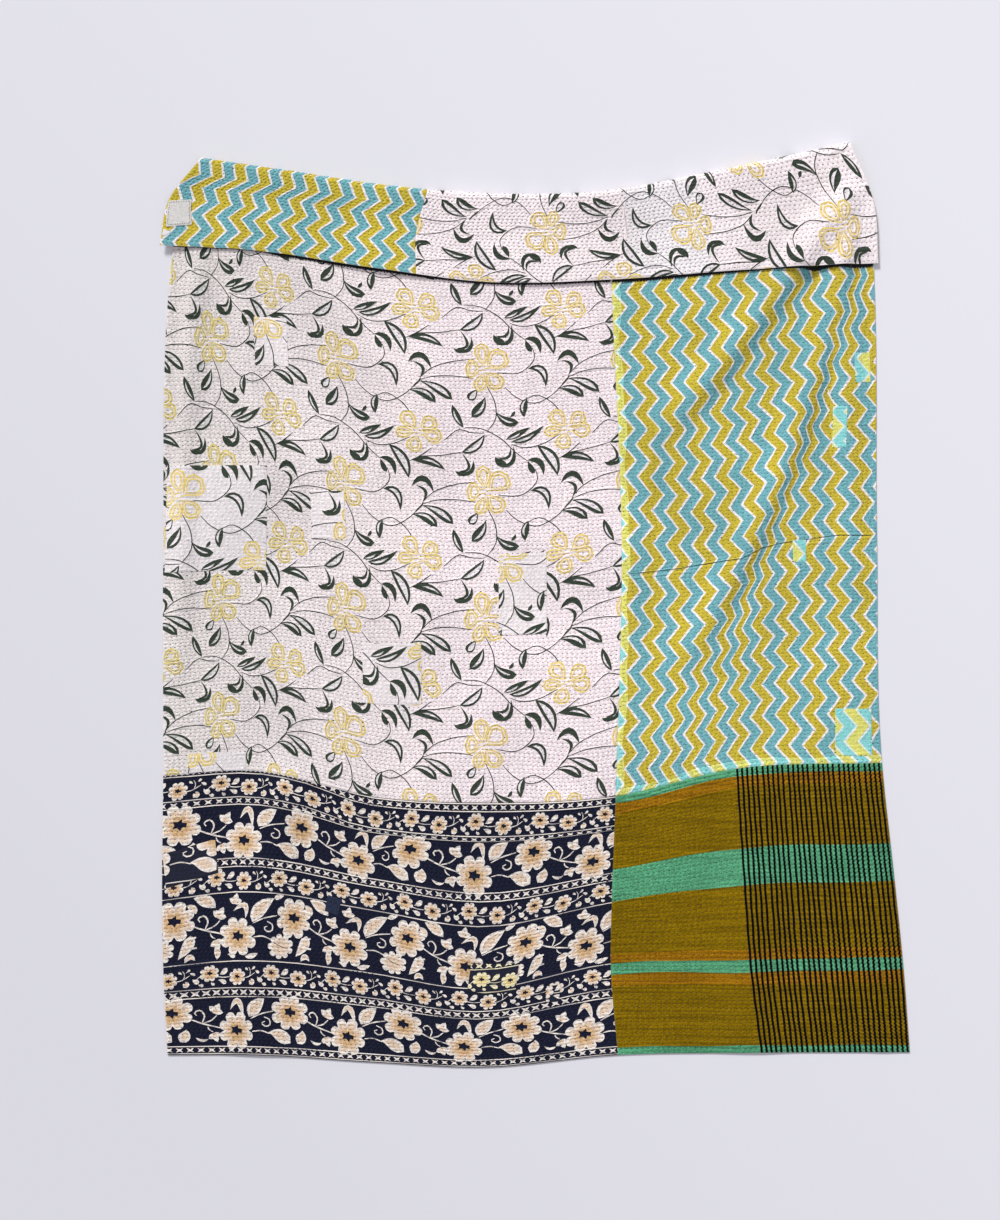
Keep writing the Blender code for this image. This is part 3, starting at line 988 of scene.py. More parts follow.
    def big_flowers(self, low: float, high: float, first: float, tall: bool) -> list[Motif]:
        """A running stem with large flowers, one low and one high, and more leaves in the tall border."""
        y = (low + high) / 2 - (0 if tall else 1)
        found = []
        for x in np.arange(first - self.big_period, self.width + self.big_period, self.big_period):
            found += self.stems(x, y, BIG_STEMS)
            found += self.trefoil(x + 172, y + 20, 16, 60)
            found += self.trefoil(x + 168, y - 24, 14, -70)
            if tall:
                found += self.leaves(x, y, TALL_HIGH)
                found += self.trefoil(x + 202, y + 42, 15, 80)
                found += self.leaves(x, y, TALL_LEFT)
                bud = (x + 80, y - 31)
                found += [self.scallops(bud, 22, 9, self.cream), self.scallops(bud, 15, 9, self.blush)]
                found += [vein._replace(colour=self.ground) for vein in self.stems(x, y, TALL_VEIN)]
                found += self.leaves(x, y, TALL_BENT)
                found += self.stems(x, y, TALL_HOOK)
                found += self.leaves(x, y, TALL_OUTER) + self.leaves(x, y, TALL_TUCKED, True)
                found += self.leaves(x, y, TALL_LOW)
            else:
                found += self.leaves(x, y, BIG_LEFT) + self.leaves(x, y, BIG_LOW, True)
                found += self.leaves(x, y, BIG_OUTER)
            found += self.flower(x, y - 16, self.big_radius) + self.flower(x + 103, y + 19, self.big_radius)
        return found

    def motifs(self, low: Array, high: Array) -> list[Motif]:
        """The print over a rectangle of cloth, as VinePrint.motifs."""
        found = []
        for kind, bottom, top, first in self.bands:
            if kind is Band.CHAIN:
                found += self.chain(bottom, top, first)
            elif kind is Band.LINE:
                found.append(self.rule((bottom + top) / 2))
            elif kind is Band.SMALL:
                found += self.small_flowers(bottom, top, first)
            else:
                found += self.big_flowers(bottom, top, first, kind is Band.TALL)
        laid = []
        for motif in found:
            x, y = motif.outline.T
            share = smooth_step((x - self.slip_from) / (self.slip_to - self.slip_from))
            drop = self.slip * share * smooth_step((y - self.slip_above) / 30)
            outline = pulled(rows_of(x, y - drop), self.pulls) * MM
            if meets(outline, low, high):
                laid.append(Motif(motif.colour, outline))
        return laid


@dataclass
class PlaidWeave(EvenDye):
    """Handloom stripes: olive cotton with orange and green weft bands and black warp stripes."""

    ground: str = "806505"
    orange: str = "96690C"
    green: str = "569D74"
    black: str = "0A080B"
    # Colour, lower and upper edge along the throw, in mm.
    bands: tuple[tuple[str, float, float], ...] = (
        ("green", -2, 13.5),
        ("orange", 127, 150),
        ("green", 148.5, 169.5),
        ("orange", 169.5, 186),
        ("green", 287, 350),
        ("orange", 458, 482),
        ("green", 479, 500),
    )
    row_pitch: float = 6.8  # of the stitching that puckers the stripes
    stripe_width: float = 3.9
    stripe_pitch: float = 9.0
    group_gap: float = 2.2
    stripes: int = 29
    head_start: float = 1027.0
    foot_start: float = 1048.0
    right_edge: float = 1277.0

    def motifs(self, low: Array, high: Array) -> list[Motif]:
        """The weave over a rectangle of cloth, as VinePrint.motifs."""
        colours = {"green": self.green, "orange": self.orange}
        left, right = low[0] / MM - 5, high[0] / MM + 5
        x = np.linspace(left, right, 24)
        found = []
        for name, bottom, top in self.bands:
            wavy = 0.8 * np.sin(x / 31 + bottom)
            lower = rows_of(x, wavy + bottom)
            upper = rows_of(x, 0.8 * np.sin(x / 27 + top) + top)
            found.append(Motif(colours[name], np.concatenate([lower, upper[::-1]]) * MM))
        y = np.arange(-5, CROSS_SEAM / MM + 5, self.row_pitch / 2)
        puckered = np.where(np.arange(len(y)) % 2 == 0, 1, -1) * (0.6 + 0.4 * np.sin(y / 23))
        places = np.arange(self.stripes) * self.stripe_pitch
        places = places + np.floor(np.arange(self.stripes) / 5) * self.group_gap
        for place in places / places[-1]:
            head = self.head_start + (self.right_edge - 3 - self.head_start) * place
            foot = self.foot_start + (self.right_edge - self.foot_start) * place
            middle = foot + (head - foot) * y / y[-1] + 0.3 * np.sin(y / 9 + place * 40)
            middle = middle + puckered * (0.25 + 0.6 * place)
            stripe = np.concatenate([
                rows_of(middle - self.stripe_width / 2, y),
                rows_of(middle + self.stripe_width / 2, y)[::-1],
            ])
            found.append(Motif(self.black, stripe * MM))
        return found


Print = VinePrint | ZigzagPrint | BorderPrint | PlaidWeave


@dataclass
class Bare(EvenDye):
    """Undyed or plain-dyed cotton with no print."""

    ground: str = "ECE8E2"

    def motifs(self, low: Array, high: Array) -> list[Motif]:
        """No printed shapes."""
        return []


@dataclass(frozen=True)
class CottonFinish:
    """Soft washed handloom cotton: matt, uneven thread by thread, a little faded in patches."""

    name: str
    fade: float = 0.10
    slub: float = 0.16
    streak: float = 0.0
    left_painted_shade: Triple = (1.0, 1.0, 1.0)  # painted shade: how much darker the left side is drawn, as where it turns from the light
    painted_shade_from: Pair = (-0.62, -0.1)  # x where the painted shade is full, and where it ends
    roughness: float = 0.88
    sheen: float = 0.06
    specular: float = 0.2
    thread: float = 0.0011  # metres between drawn threads, coarser than the real 0.4 mm so that they show
    bump: float = 0.00022

    def build(self) -> Material:
        """Makes the material, which takes its dye from the mesh's own colours."""
        material = bpy.data.materials.new(self.name)
        material.use_nodes = True
        tree = material.node_tree
        shader = tree.nodes["Principled BSDF"]
        shader.inputs["Roughness"].default_value = self.roughness
        shader.inputs["Sheen Weight"].default_value = self.sheen
        shader.inputs["Sheen Roughness"].default_value = 0.6
        shader.inputs["Specular IOR Level"].default_value = self.specular
        shader.inputs["IOR"].default_value = 1.5
        dye = add_node(tree, "ShaderNodeAttribute", attribute_name="dye")
        place = add_node(tree, "ShaderNodeTexCoord")
        weft = self.threads(tree, place.outputs["Object"], (90, 1 / self.thread, 200), 1)
        warp = self.threads(tree, place.outputs["Object"], (1 / self.thread, 90, 200), 1)
        both = add_node(tree, "ShaderNodeMath", {0: weft, 1: warp}, operation="ADD")
        slub = spread(tree, both.outputs[0], (0.7, 1.3), (1 - self.slub, 1 + self.slub))
        patchy = add_node(
            tree, "ShaderNodeTexNoise", {"Vector": place.outputs["Object"], "Scale": 5.5, "Detail": 4.0}
        )
        fade = spread(tree, patchy.outputs["Fac"], NOISE_RANGE, (1 - self.fade, 1 + self.fade))
        shade = add_node(tree, "ShaderNodeMath", {0: slub, 1: fade}, operation="MULTIPLY")
        if self.streak:
            lines = self.threads(tree, place.outputs["Object"], (5, 150, 10), 2)
            streak = spread(tree, lines, NOISE_RANGE, (1 - self.streak, 1 + self.streak))
            shade = add_node(tree, "ShaderNodeMath", {0: shade.outputs[0], 1: streak}, operation="MULTIPLY")
        tinted = multiply(tree, dye.outputs["Color"], shade.outputs[0])
        # Painted shade: the left side of the cloth is darkened, as where it turns from the light.
        side = add_node(tree, "ShaderNodeSeparateXYZ", {0: place.outputs["Object"]})
        right = spread(tree, side.outputs["X"], self.painted_shade_from, (0, 1))
        regain = tuple(1 - share for share in self.left_painted_shade)
        painted_side_shade = add_node(
            tree, "ShaderNodeVectorMath", {0: regain, 1: right, 2: self.left_painted_shade}, operation="MULTIPLY_ADD"
        )
        side_shaded_dye = multiply(tree, tinted, painted_side_shade.outputs[0])
        tree.links.new(side_shaded_dye, shader.inputs["Base Color"])
        bump = add_node(
            tree, "ShaderNodeBump", {"Height": both.outputs[0], "Strength": 0.5, "Distance": self.bump}
        )
        tree.links.new(bump.outputs["Normal"], shader.inputs["Normal"])
        return material

    def threads(self, tree: NodeTree, place: NodeSocket, scale: Triple, detail: float) -> NodeSocket:
        """Adds noise drawn out along one thread direction and returns its value socket."""
        mapping = add_node(tree, "ShaderNodeMapping", {"Vector": place, "Scale": scale})
        noise = add_node(
            tree, "ShaderNodeTexNoise", {"Vector": mapping.outputs[0], "Scale": 1.0, "Detail": detail}
        )
        return noise.outputs["Fac"]


@dataclass(frozen=True)
class ThreadFinish:
    """Dark spun cotton sewing thread: matt, with a little unevenness of dye."""

    name: str = "spun_sewing_thread"
    roughness: float = 0.8
    uneven: float = 0.2  # share that the dye is lighter or darker

    def build(self) -> Material:
        """Makes the material, which takes its dye from the mesh's own colours."""
        material = bpy.data.materials.new(self.name)
        material.use_nodes = True
        tree = material.node_tree
        shader = tree.nodes["Principled BSDF"]
        shader.inputs["Roughness"].default_value = self.roughness
        shader.inputs["IOR"].default_value = 1.5
        dye = add_node(tree, "ShaderNodeAttribute", attribute_name="dye")
        place = add_node(tree, "ShaderNodeTexCoord")
        noise = add_node(tree, "ShaderNodeTexNoise", {"Vector": place.outputs["Object"], "Scale": 400.0})
        level = spread(tree, noise.outputs["Fac"], NOISE_RANGE, (1 - self.uneven, 1 + self.uneven))
        tinted = multiply(tree, dye.outputs["Color"], level)
        tree.links.new(tinted, shader.inputs["Base Color"])
        return material


@dataclass(frozen=True)
class PaperFloor:
    """Seamless pale paper: matt, with painted light that makes it a little lighter towards the window."""

    colour: str = "E6E5EA"
    roughness: float = 0.95
    painted_light_slope: Triple = (0.05, 0.05, 0.0)  # painted light: share a metre that it grows lighter
    most: float = 0.08  # the most that the painted light makes it lighter or darker

    def build(self) -> Material:
        """Makes the material."""
        material = bpy.data.materials.new("seamless_paper")
        material.use_nodes = True
        tree = material.node_tree
        shader = tree.nodes["Principled BSDF"]
        shader.inputs["Roughness"].default_value = self.roughness
        place = add_node(tree, "ShaderNodeTexCoord")
        # Painted light: the paper's colour grows lighter one way, as if lit more from there.
        towards = add_node(
            tree, "ShaderNodeVectorMath", {0: place.outputs["Object"], 1: self.painted_light_slope},
            operation="DOT_PRODUCT",
        )
        most = self.most
        level = spread(tree, towards.outputs["Value"], (-most, most), (1 - most, 1 + most))
        paper = multiply(tree, tuple(linear(self.colour)), level)
        tree.links.new(paper, shader.inputs["Base Color"])
        return material


def add_node(tree: NodeTree, kind: str, inputs: dict | None = None, **settings: object) -> Node:
    """Adds a shader node.

    Args:
        tree: Where to add it.
        kind: Blender's name for the kind of node.
        inputs: Input name or number to a value, or to the socket that feeds it.
        settings: The node's own properties.

    Returns:
        The node.
    """
    node = tree.nodes.new(kind)
    for name, value in settings.items():
        setattr(node, name, value)
    for key, value in (inputs or {}).items():
        if isinstance(value, NodeSocket):
            tree.links.new(value, node.inputs[key])
        else:
            node.inputs[key].default_value = value
    return node


def spread(tree: NodeTree, value: NodeSocket, source: Pair, target: Pair) -> NodeSocket:
    """Adds a node that maps one range of a value on another.

    Args:
        tree: Where to add it.
        value: The value's socket.
        source: The range that it comes in.
        target: The range that it leaves in, held at its ends.

    Returns:
        The mapped value's socket.
    """
    limits = dict(zip(("From Min", "From Max", "To Min", "To Max"), (*source, *target)))
    return add_node(tree, "ShaderNodeMapRange", {"Value": value, **limits}).outputs[0]


def multiply(tree: NodeTree, first: object, second: object) -> NodeSocket:
    """Adds a node that multiplies two colours, or a colour and a level, and returns its socket."""
    return add_node(tree, "ShaderNodeVectorMath", {0: first, 1: second}, operation="MULTIPLY").outputs[0]


def mesh_object(name: str, points: Array, faces: Array, colours: Array,
                material: Material, charts: Array | None = None) -> Object:
    """Makes an object of triangles with one dye colour a face.

    Args:
        name: The piece's name.
        points: A row per vertex, in metres.
        faces: Three vertex numbers a row.
        colours: Linear colour of each face.
        material: Its material.
        charts: Place of each face corner in the bake's picture, if the piece has one.

    Returns:
        The object, in the scene.
    """
    mesh = bpy.data.meshes.new(name)
    mesh.vertices.add(len(points))
    mesh.vertices.foreach_set("co", points.astype(np.float32).ravel())
    mesh.loops.add(len(faces) * 3)
    mesh.loops.foreach_set("vertex_index", faces.astype(np.int32).ravel())
    mesh.polygons.add(len(faces))
    mesh.polygons.foreach_set("loop_start", np.arange(0, len(faces) * 3, 3, dtype=np.int32))
    mesh.polygons.foreach_set("loop_total", np.full(len(faces), 3, dtype=np.int32))
    mesh.polygons.foreach_set("use_smooth", np.ones(len(faces), dtype=bool))
    dye = mesh.color_attributes.new("dye", "FLOAT_COLOR", "CORNER")
    rgba = np.concatenate([colours, np.ones((len(colours), 1))], axis=1)
    dye.data.foreach_set("color", np.repeat(rgba, 3, axis=0).astype(np.float32).ravel())
    if charts is not None:
        layer = mesh.uv_layers.new(name="OFBake")
        layer.data.foreach_set("uv", charts.astype(np.float32).ravel())
    mesh.update(calc_edges=True)
    mesh.validate()
    mesh.set_sharp_from_angle(angle=SHARP_FROM)
    mesh.materials.append(material)
    made = bpy.data.objects.new(name, mesh)
    bpy.context.scene.collection.objects.link(made)
    return made


def inset_distance(window: Array, places: Array) -> Array:
    """How far inside a convex window each place lies, in metres."""
    nearest = np.full(len(places), np.inf)
    for start, end in zip(window, np.roll(window, -1, axis=0)):
        way = (end - start) / np.linalg.norm(end - start)
        inward = np.array([-way[1], way[0]])
        nearest = np.minimum(nearest, (places - start) @ inward)
    return nearest


def grid_places(across: Array, along: Array) -> Array:
    """Every place of a grid, a row each."""
    return np.stack([side.ravel() for side in np.meshgrid(across, along)], axis=1)


def triangulate(places: Array, outlines: list[Array]) -> tuple[Array, Array, list[list[int]]]:
    """Fills a set of outlines with triangles that keep every outline as edges.

    Args:
        places: Loose points to take in, a row each.
        outlines: Closed outlines, the first of them the window.

    Returns:
        Points, triangles inside the window, and for each triangle the outlines that it lies in.
    """
    loose = [Vector((float(x), float(y))) for x, y in places]
    rings = []
    start = len(loose)
    for outline in outlines:
        ring = ccw(outline)
        loose += [Vector((float(x), float(y))) for x, y in ring]
        rings.append(list(range(start, start + len(ring))))
        start += len(ring)
    points, _, faces, _, _, owners = delaunay_2d_cdt(loose, [], rings, 0, 1e-6, True)
    kept = [k for k, owner in enumerate(owners) if 0 in owner]
    triangles = np.array([faces[k] for k in kept])
    return np.array([tuple(p) for p in points]), triangles, [owners[k] for k in kept]


class Crease(NamedTuple):
    """A sharp little step pressed into the cloth: places along it in cloth mm, from left to right."""

    places: tuple[Pair, ...]
    drop: float = 0.0010  # less than the cloth's thickness
    steep: float = 0.0014  # how far the steep head side reaches
    gentle: float = 0.008
    # Colour of the painted shadow that marks the crease's shaded bottom.
    tone: str = "4A584C"
    breadth: float = 0.0015  # of the painted shadow line in its bottom
    spacing: float = 4.0  # mm between its points

    def along(self, across: Array) -> Array:
        """Where the crease runs, in metres."""
        line = np.array(self.places) * MM
        return np.interp(across, line[:, 0], line[:, 1], left=-1, right=-1)

    def depth(self, places: Array) -> Array:
        """How far the crease sinks the cloth at places, in metres."""
        above = places[:, 1] - self.along(places[:, 0])
        return self.drop * np.where(
            above > 0, smooth_step(1 - above / self.steep), smooth_step(1 + above / self.gentle)
        )

    def shade(self) -> Motif:
        """The painted shadow in its bottom: a dark line drawn into the print where shade falls."""
        across = np.arange(self.places[0][0], self.places[-1][0], self.spacing) * MM
        bottom = rows_of(across, self.along(across) + self.breadth / 3)
        return Motif(self.tone, ribbon(bottom, self.breadth))

    def lines(self) -> Array:
        """Places that its shape needs: its bottom, its steep edge and its gentle side."""
        across = np.arange(self.places[0][0], self.places[-1][0], self.spacing) * MM
        rises = (-self.gentle, -self.gentle / 2, 0, self.steep)
        return np.concatenate([rows_of(across, self.along(across) + rise) for rise in rises])


class Face(Enum):
    """Which face of the throw a piece belongs to."""

    FRONT = 1
    BACK = -1


@dataclass
class ClothPiece:
    """A thin closed piece of cloth between two offsets of the surface, with its print in its mesh."""

    name: str
    face: Face
    window: Array  # corners in cloth metres, counter-clockwise
    print: Print | Bare
    surface: ClothSurface
    quilting: Quilting
    seat: float = SEAM_GAP / 2  # offset of the hidden side
    thickness: float = PANEL_THICKNESS
    detail: Pair = (0.0, 0.0)  # along: where every stitch shows in the relief
    plain_columns: float = 0.03
    edge_turn: float = 0.0008
    edge_reach: float = 0.0035
    rim_spacing: float = 0.008
    rim_step: float = 0.0012  # inset of the first ring of places inside the rim
    rim_clearance: float = 0.0015  # how far inside the rim every other place stays
    turn_pitch: float = 0.012  # across, between the extra places round the turn
    turn_points: int = 13
    past_turn: float = 0.002
    hidden_pitch: float = 0.008
    hidden_bend: float = 0.0002
    regions: list[Array] = field(default_factory=list)  # where the print has its fresh colours
    covered: list[Array] = field(default_factory=list)  # windows that a patch lies over, pressed flat
    pressed_reach: float = 0.0065  # round such a window
    pressed_ramp: float = 0.004
    creases: tuple[Crease, ...] = ()
    pucker_share: float = 1.0

    def lattice(self) -> Array:
        """Places of the raised and stitched lines: three to a stitch where the detail shows."""
        low, high = extent(self.window)
        quilting = self.quilting
        found = []
        for row in quilting.row_places(low[1], high[1]):
            straight = (row + 0.5) * quilting.row_pitch
            shown = self.detail[0] <= straight <= self.detail[1]
            pitch = quilting.stitch_pitch if shown else self.plain_columns
            count = np.arange(math.floor(low[0] / pitch) - 1, math.ceil(high[0] / pitch) + 2)
            phase = quilting.phase(row) if shown else 0
            stitches = (count + phase) * pitch
            half = quilting.stitch_length / 2
            valley = np.concatenate([stitches - half, stitches + half]) if shown else stitches
            found.append(rows_of(valley, quilting.row_line(row, valley)))
            ridge = stitches + pitch / 2
            found.append(rows_of(ridge, quilting.row_line(row + 0.5, ridge)))
        found += [crease.lines() for crease in self.creases]
        places = np.concatenate(found)
        return places[inset_distance(self.window, places) > self.rim_clearance]

    def turn_rows(self, across: Array) -> Array:
        """Extra places round the turn, so that it stays round."""
        low, high = extent(self.window)
        if high[1] <= BODY_LENGTH or low[1] >= TURN_END:
            return np.zeros((0, 2))
        along = np.linspace(BODY_LENGTH - self.past_turn, TURN_END + self.past_turn, self.turn_points)
        places = grid_places(across, along)
        return places[inset_distance(self.window, places) > self.rim_clearance]

    def hidden_places(self) -> Array:
        """Places of the hidden side: wide apart, and closer where the folds bend it."""
        low, high = extent(self.window)
        pitch = self.hidden_pitch
        columns = np.arange(low[0] + 0.004, high[0] - 0.002, pitch)
        rows = np.arange(low[1] + 0.006, high[1] - 0.004, pitch)
        places = grid_places(columns, rows)
        column, row = grid_places(np.arange(len(columns)), np.arange(len(rows))).T
        wide = (column % 2 == 0) & (row % 3 == 0)
        bent = self.surface.bend(places[:, 0], places[:, 1], pitch) > self.hidden_bend
        inside = inset_distance(self.window, places) > 2 * self.rim_clearance
        return places[inside & (bent | wide)]

    def rim(self, inset: float) -> Array:
        """Places round the window, drawn in by inset, corners included, closer together round the turn."""
        middle = self.window.mean(axis=0)
        corners = middle + (self.window - middle) * (1 - inset / np.abs(self.window - middle))
        found = []
        for start, end in zip(corners, np.roll(corners, -1, axis=0)):
            steps = max(1, round(float(np.linalg.norm(end - start)) / self.rim_spacing))
            share = np.linspace(0, 1, steps, endpoint=False)
            if min(start[1], end[1]) < BODY_LENGTH and max(start[1], end[1]) > TURN_END:
                marks = np.linspace(BODY_LENGTH, TURN_END, self.turn_points) - start[1]
                marks = marks / (end[1] - start[1])
                share = np.unique(np.concatenate([share, marks]).round(7))
            found.append(start + share[:, None] * (end - start))
        return np.concatenate(found)

    def visible_offset(self, places: Array) -> Array:
        """Height of the visible side over the hidden side's seat, in metres."""
        raised = self.quilting.height(places[:, 0], places[:, 1]) * self.pucker_share
        for window in self.covered:
            near = inset_distance(window, places) + self.pressed_reach
            raised = raised * (1 - smooth_step(near / self.pressed_ramp))
        for crease in self.creases:
            raised = raised - crease.depth(places)
        if self.face is Face.BACK:
            on_floor = 1 - smooth_step((places[:, 1] - BODY_LENGTH) / TURN_LENGTH)
            raised = raised - self.quilting.pucker * self.pucker_share * on_floor
        inside = smooth_step(inset_distance(self.window, places) / self.edge_reach)
        return self.thickness - self.edge_turn * (1 - inside) + raised * inside

    def build(self, material: Material) -> Object:
        """Makes the piece.

        Args:
            material: Its material.

        Returns:
            The object.
        """
        low, high = extent(self.window)
        border = self.rim(0)
        coarse_across = np.arange(low[0] + 0.004, high[0] - 0.002, self.turn_pitch)
        places = np.concatenate([
            self.lattice(), self.rim(self.rim_step), self.rim(self.edge_reach), self.turn_rows(coarse_across)
        ])
        # The creases' painted shadow lines are laid in with the print.
        shapes = self.print.motifs(low, high) + [crease.shade() for crease in self.creases]
        outlines = [border] + [motif.outline for motif in shapes] + self.regions
        flat, triangles, owners = triangulate(places, outlines)
        palette = [self.print.ground] + [motif.colour for motif in shapes]
        first_region = len(palette)
        colours = []
        for owner in owners:
            top = max(k for k in owner if k < first_region)
            name = palette[top]
            colours.append(self.print.fresh(name) if max(owner) >= first_region else name)
        tints = {name: linear(name) for name in set(colours)}
        top_colours = np.array([tints[name] for name in colours])

        used, triangles = np.unique(triangles, return_inverse=True)
        flat, triangles = flat[used], triangles.reshape(-1, 3)
        rim_order = self.boundary(triangles)
        inner = np.concatenate([self.hidden_places(), self.turn_rows(coarse_across)])
        hidden, hidden_triangles, _ = triangulate(inner, [flat[rim_order]])
        return self.assemble(flat, triangles, top_colours, rim_order, hidden, hidden_triangles, material)

    def boundary(self, triangles: Array) -> Array:
        """The rim's vertices in counter-clockwise order."""
        edges = np.concatenate([triangles[:, [0, 1]], triangles[:, [1, 2]], triangles[:, [2, 0]]])
        keys = edges[:, 0] * (triangles.max() + 1) + edges[:, 1]
        back = edges[:, 1] * (triangles.max() + 1) + edges[:, 0]
        lone = edges[~np.isin(keys, back)]
        follow = {int(a): int(b) for a, b in lone}
        order = [int(lone[0, 0])]
        while follow[order[-1]] != order[0]:
            order.append(follow[order[-1]])
        return np.array(order)

    def assemble(
        self, flat: Array, triangles: Array, colours: Array, rim_order: Array,
        hidden: Array, hidden_triangles: Array, material: Material,
    ) -> Object:
        """Lifts both sides off the flat cloth and joins them round the rim.

        Args:
            flat: Places of the visible side.
            triangles: Triangles of the visible side.
            colours: A linear colour for each of them.
            rim_order: The rim's vertices in order.
            hidden: Places of the hidden side.
            hidden_triangles: Triangles of the hidden side.
            material: The piece's material.

        Returns:
            The object.
        """
        sign = self.face.value
        visible = self.surface.points(flat[:, 0], flat[:, 1], sign * (self.seat + self.visible_offset(flat)))
        # The hidden side uses the rim's own places, in the order in which they come back.
        unders = self.surface.points(hidden[:, 0], hidden[:, 1], np.full(len(hidden), sign * self.seat))
        table = {tuple(np.round(p, 7)): k for k, p in enumerate(hidden)}
        under_rim = np.array([table[tuple(np.round(flat[k], 7))] for k in rim_order]) + len(flat)
        next_top, next_under = np.roll(rim_order, -1), np.roll(under_rim, -1)
        walls = np.concatenate([
            rows_of(rim_order, under_rim, next_under),
            rows_of(rim_order, next_under, next_top),
        ])
        faces = np.concatenate([triangles, hidden_triangles[:, ::-1] + len(flat), walls])
        if sign < 0:
            faces = faces[:, ::-1]
        ground = linear(self.print.ground)
        rest = np.tile(ground, (len(hidden_triangles) + len(walls), 1))
        low, size = self.window.min(axis=0), np.ptp(self.window, axis=0)
        chart = np.concatenate([
            (flat - low) / size * (0.98, 0.88) + (0.01, 0.01),
            (hidden - low) / size * (0.98, 0.07) + (0.01, 0.92),
        ])
        corners = chart[faces]
        return mesh_object(
            self.name, np.concatenate([visible, unders]), faces, np.concatenate([colours, rest]), material,
            corners.reshape(-1, 2),
        )


def lay_stitches(name: str, cloth: ClothPiece, places: Array, ways: Array, level: Array,
                 size: tuple[Array | float, float, float], colours: Array, material: Material) -> Object:
    """Lays short raised dashes of thread on a piece's visible side.

    Args:
        name: The piece's name.
        cloth: The cloth that they go through.
        places: The middle of each in the cloth, in metres.
        ways: Each one's direction in the cloth.
        level: Offset of each from the middle surface.
        size: Half length of each, half width and height, in metres.
        colours: Linear colour of each.
        material: The thread's material.

    Returns:
        The object.
    """
    weft, warp, facing = cloth.surface.frame_at(places[:, 0], places[:, 1])
    facing = facing * cloth.face.value
    way = weft * ways[:, :1] + warp * ways[:, 1:]
    way /= np.linalg.norm(way, axis=1, keepdims=True)
    aside = np.cross(facing, way)
    middle = cloth.surface.middle(places[:, 0], places[:, 1]) + facing * level[:, None]
    length, half, high = size
    length = np.broadcast_to(length, len(places))
    low, crest = -THREAD_SUNK, THREAD_CREST
    shape = ((-1, -1, low), (1, -1, low), (1, 1, low), (-1, 1, low), (-crest, 0, high), (crest, 0, high))
    corners = np.stack([
        middle + way * (length * s)[:, None] + aside * half * a + facing * h for s, a, h in shape
    ], axis=1)
    faces = np.array([(0, 1, 5), (0, 5, 4), (2, 3, 4), (2, 4, 5), (1, 2, 5), (3, 0, 4), (0, 2, 1), (0, 3, 2)])
    triangles = (faces[None] + (np.arange(len(places)) * 6)[:, None, None]).reshape(-1, 3)
    dyes = np.repeat(colours, len(faces), axis=0)
    return mesh_object(name, corners.reshape(-1, 3), triangles, dyes, material)


@dataclass
class StitchRows:
    """The running stitches of one panel, each a short raised dash of thread."""

    name: str
    cloth: ClothPiece
    thread: str = "211C24"
    margin: float = 0.003
    stray: float = 0.0007  # along the row
    slope_step: float = 0.001
    over: list[ClothPiece] = field(default_factory=list)  # patches that the stitches go through as well

    def places(self) -> tuple[Array, Array]:
        """Middles of the stitches, and the slope of the row at each.

        Returns:
            Cloth places, a row each, and slopes.
        """
        cloth, quilting = self.cloth, self.cloth.quilting
        low, high = extent(cloth.window)
        found = []
        for row in quilting.row_places(max(low[1], cloth.detail[0]), min(high[1], cloth.detail[1])):
            pitch = quilting.stitch_pitch
            count = np.arange(math.floor(low[0] / pitch) - 1, math.ceil(high[0] / pitch) + 2)
            middle = (count + quilting.phase(row)) * pitch + self.stray * np.sin(count * 7.3 + row * 3.1)
            found.append(rows_of(middle, quilting.row_line(row, middle)))
        places = np.concatenate(found)
        places = places[inset_distance(cloth.window, places) > self.margin]
        step = self.slope_step
        before, after = (quilting.wander(places[:, 0] + way * step, places[:, 1]) for way in (-1, 1))
        return places, (after - before) / (2 * step)

    def build(self, material: Material) -> Object:
        """Makes the stitches as one piece.

        Args:
            material: The thread's material.

        Returns:
            The object.
        """
        cloth, quilting = self.cloth, self.cloth.quilting
        places, slope = self.places()
        ends = [places + (side * quilting.stitch_length / 2, 0) for side in (-1, 1)]
        base_offset = cloth.seat + (cloth.visible_offset(ends[0]) + cloth.visible_offset(ends[1])) / 2
        for patch in self.over:
            inside = inset_distance(patch.window, places) > 0
            level = patch.seat + patch.visible_offset(places[inside])
            base_offset[inside] = np.maximum(base_offset[inside], level)
        number = np.arange(len(places))
        ways = rows_of(slope * 0 + 1, slope)
        half_length = quilting.stitch_length * (0.9 + 0.2 * np.sin(number * 2.7)) / 2
        tone = 0.85 + 0.3 * (0.5 + 0.5 * np.sin(number * 5.1))
        size = (half_length, quilting.stitch_width / 2, quilting.stitch_height)
        colours = linear(self.thread) * tone[:, None]
        return lay_stitches(self.name, cloth, places, ways, base_offset, size, colours, material)


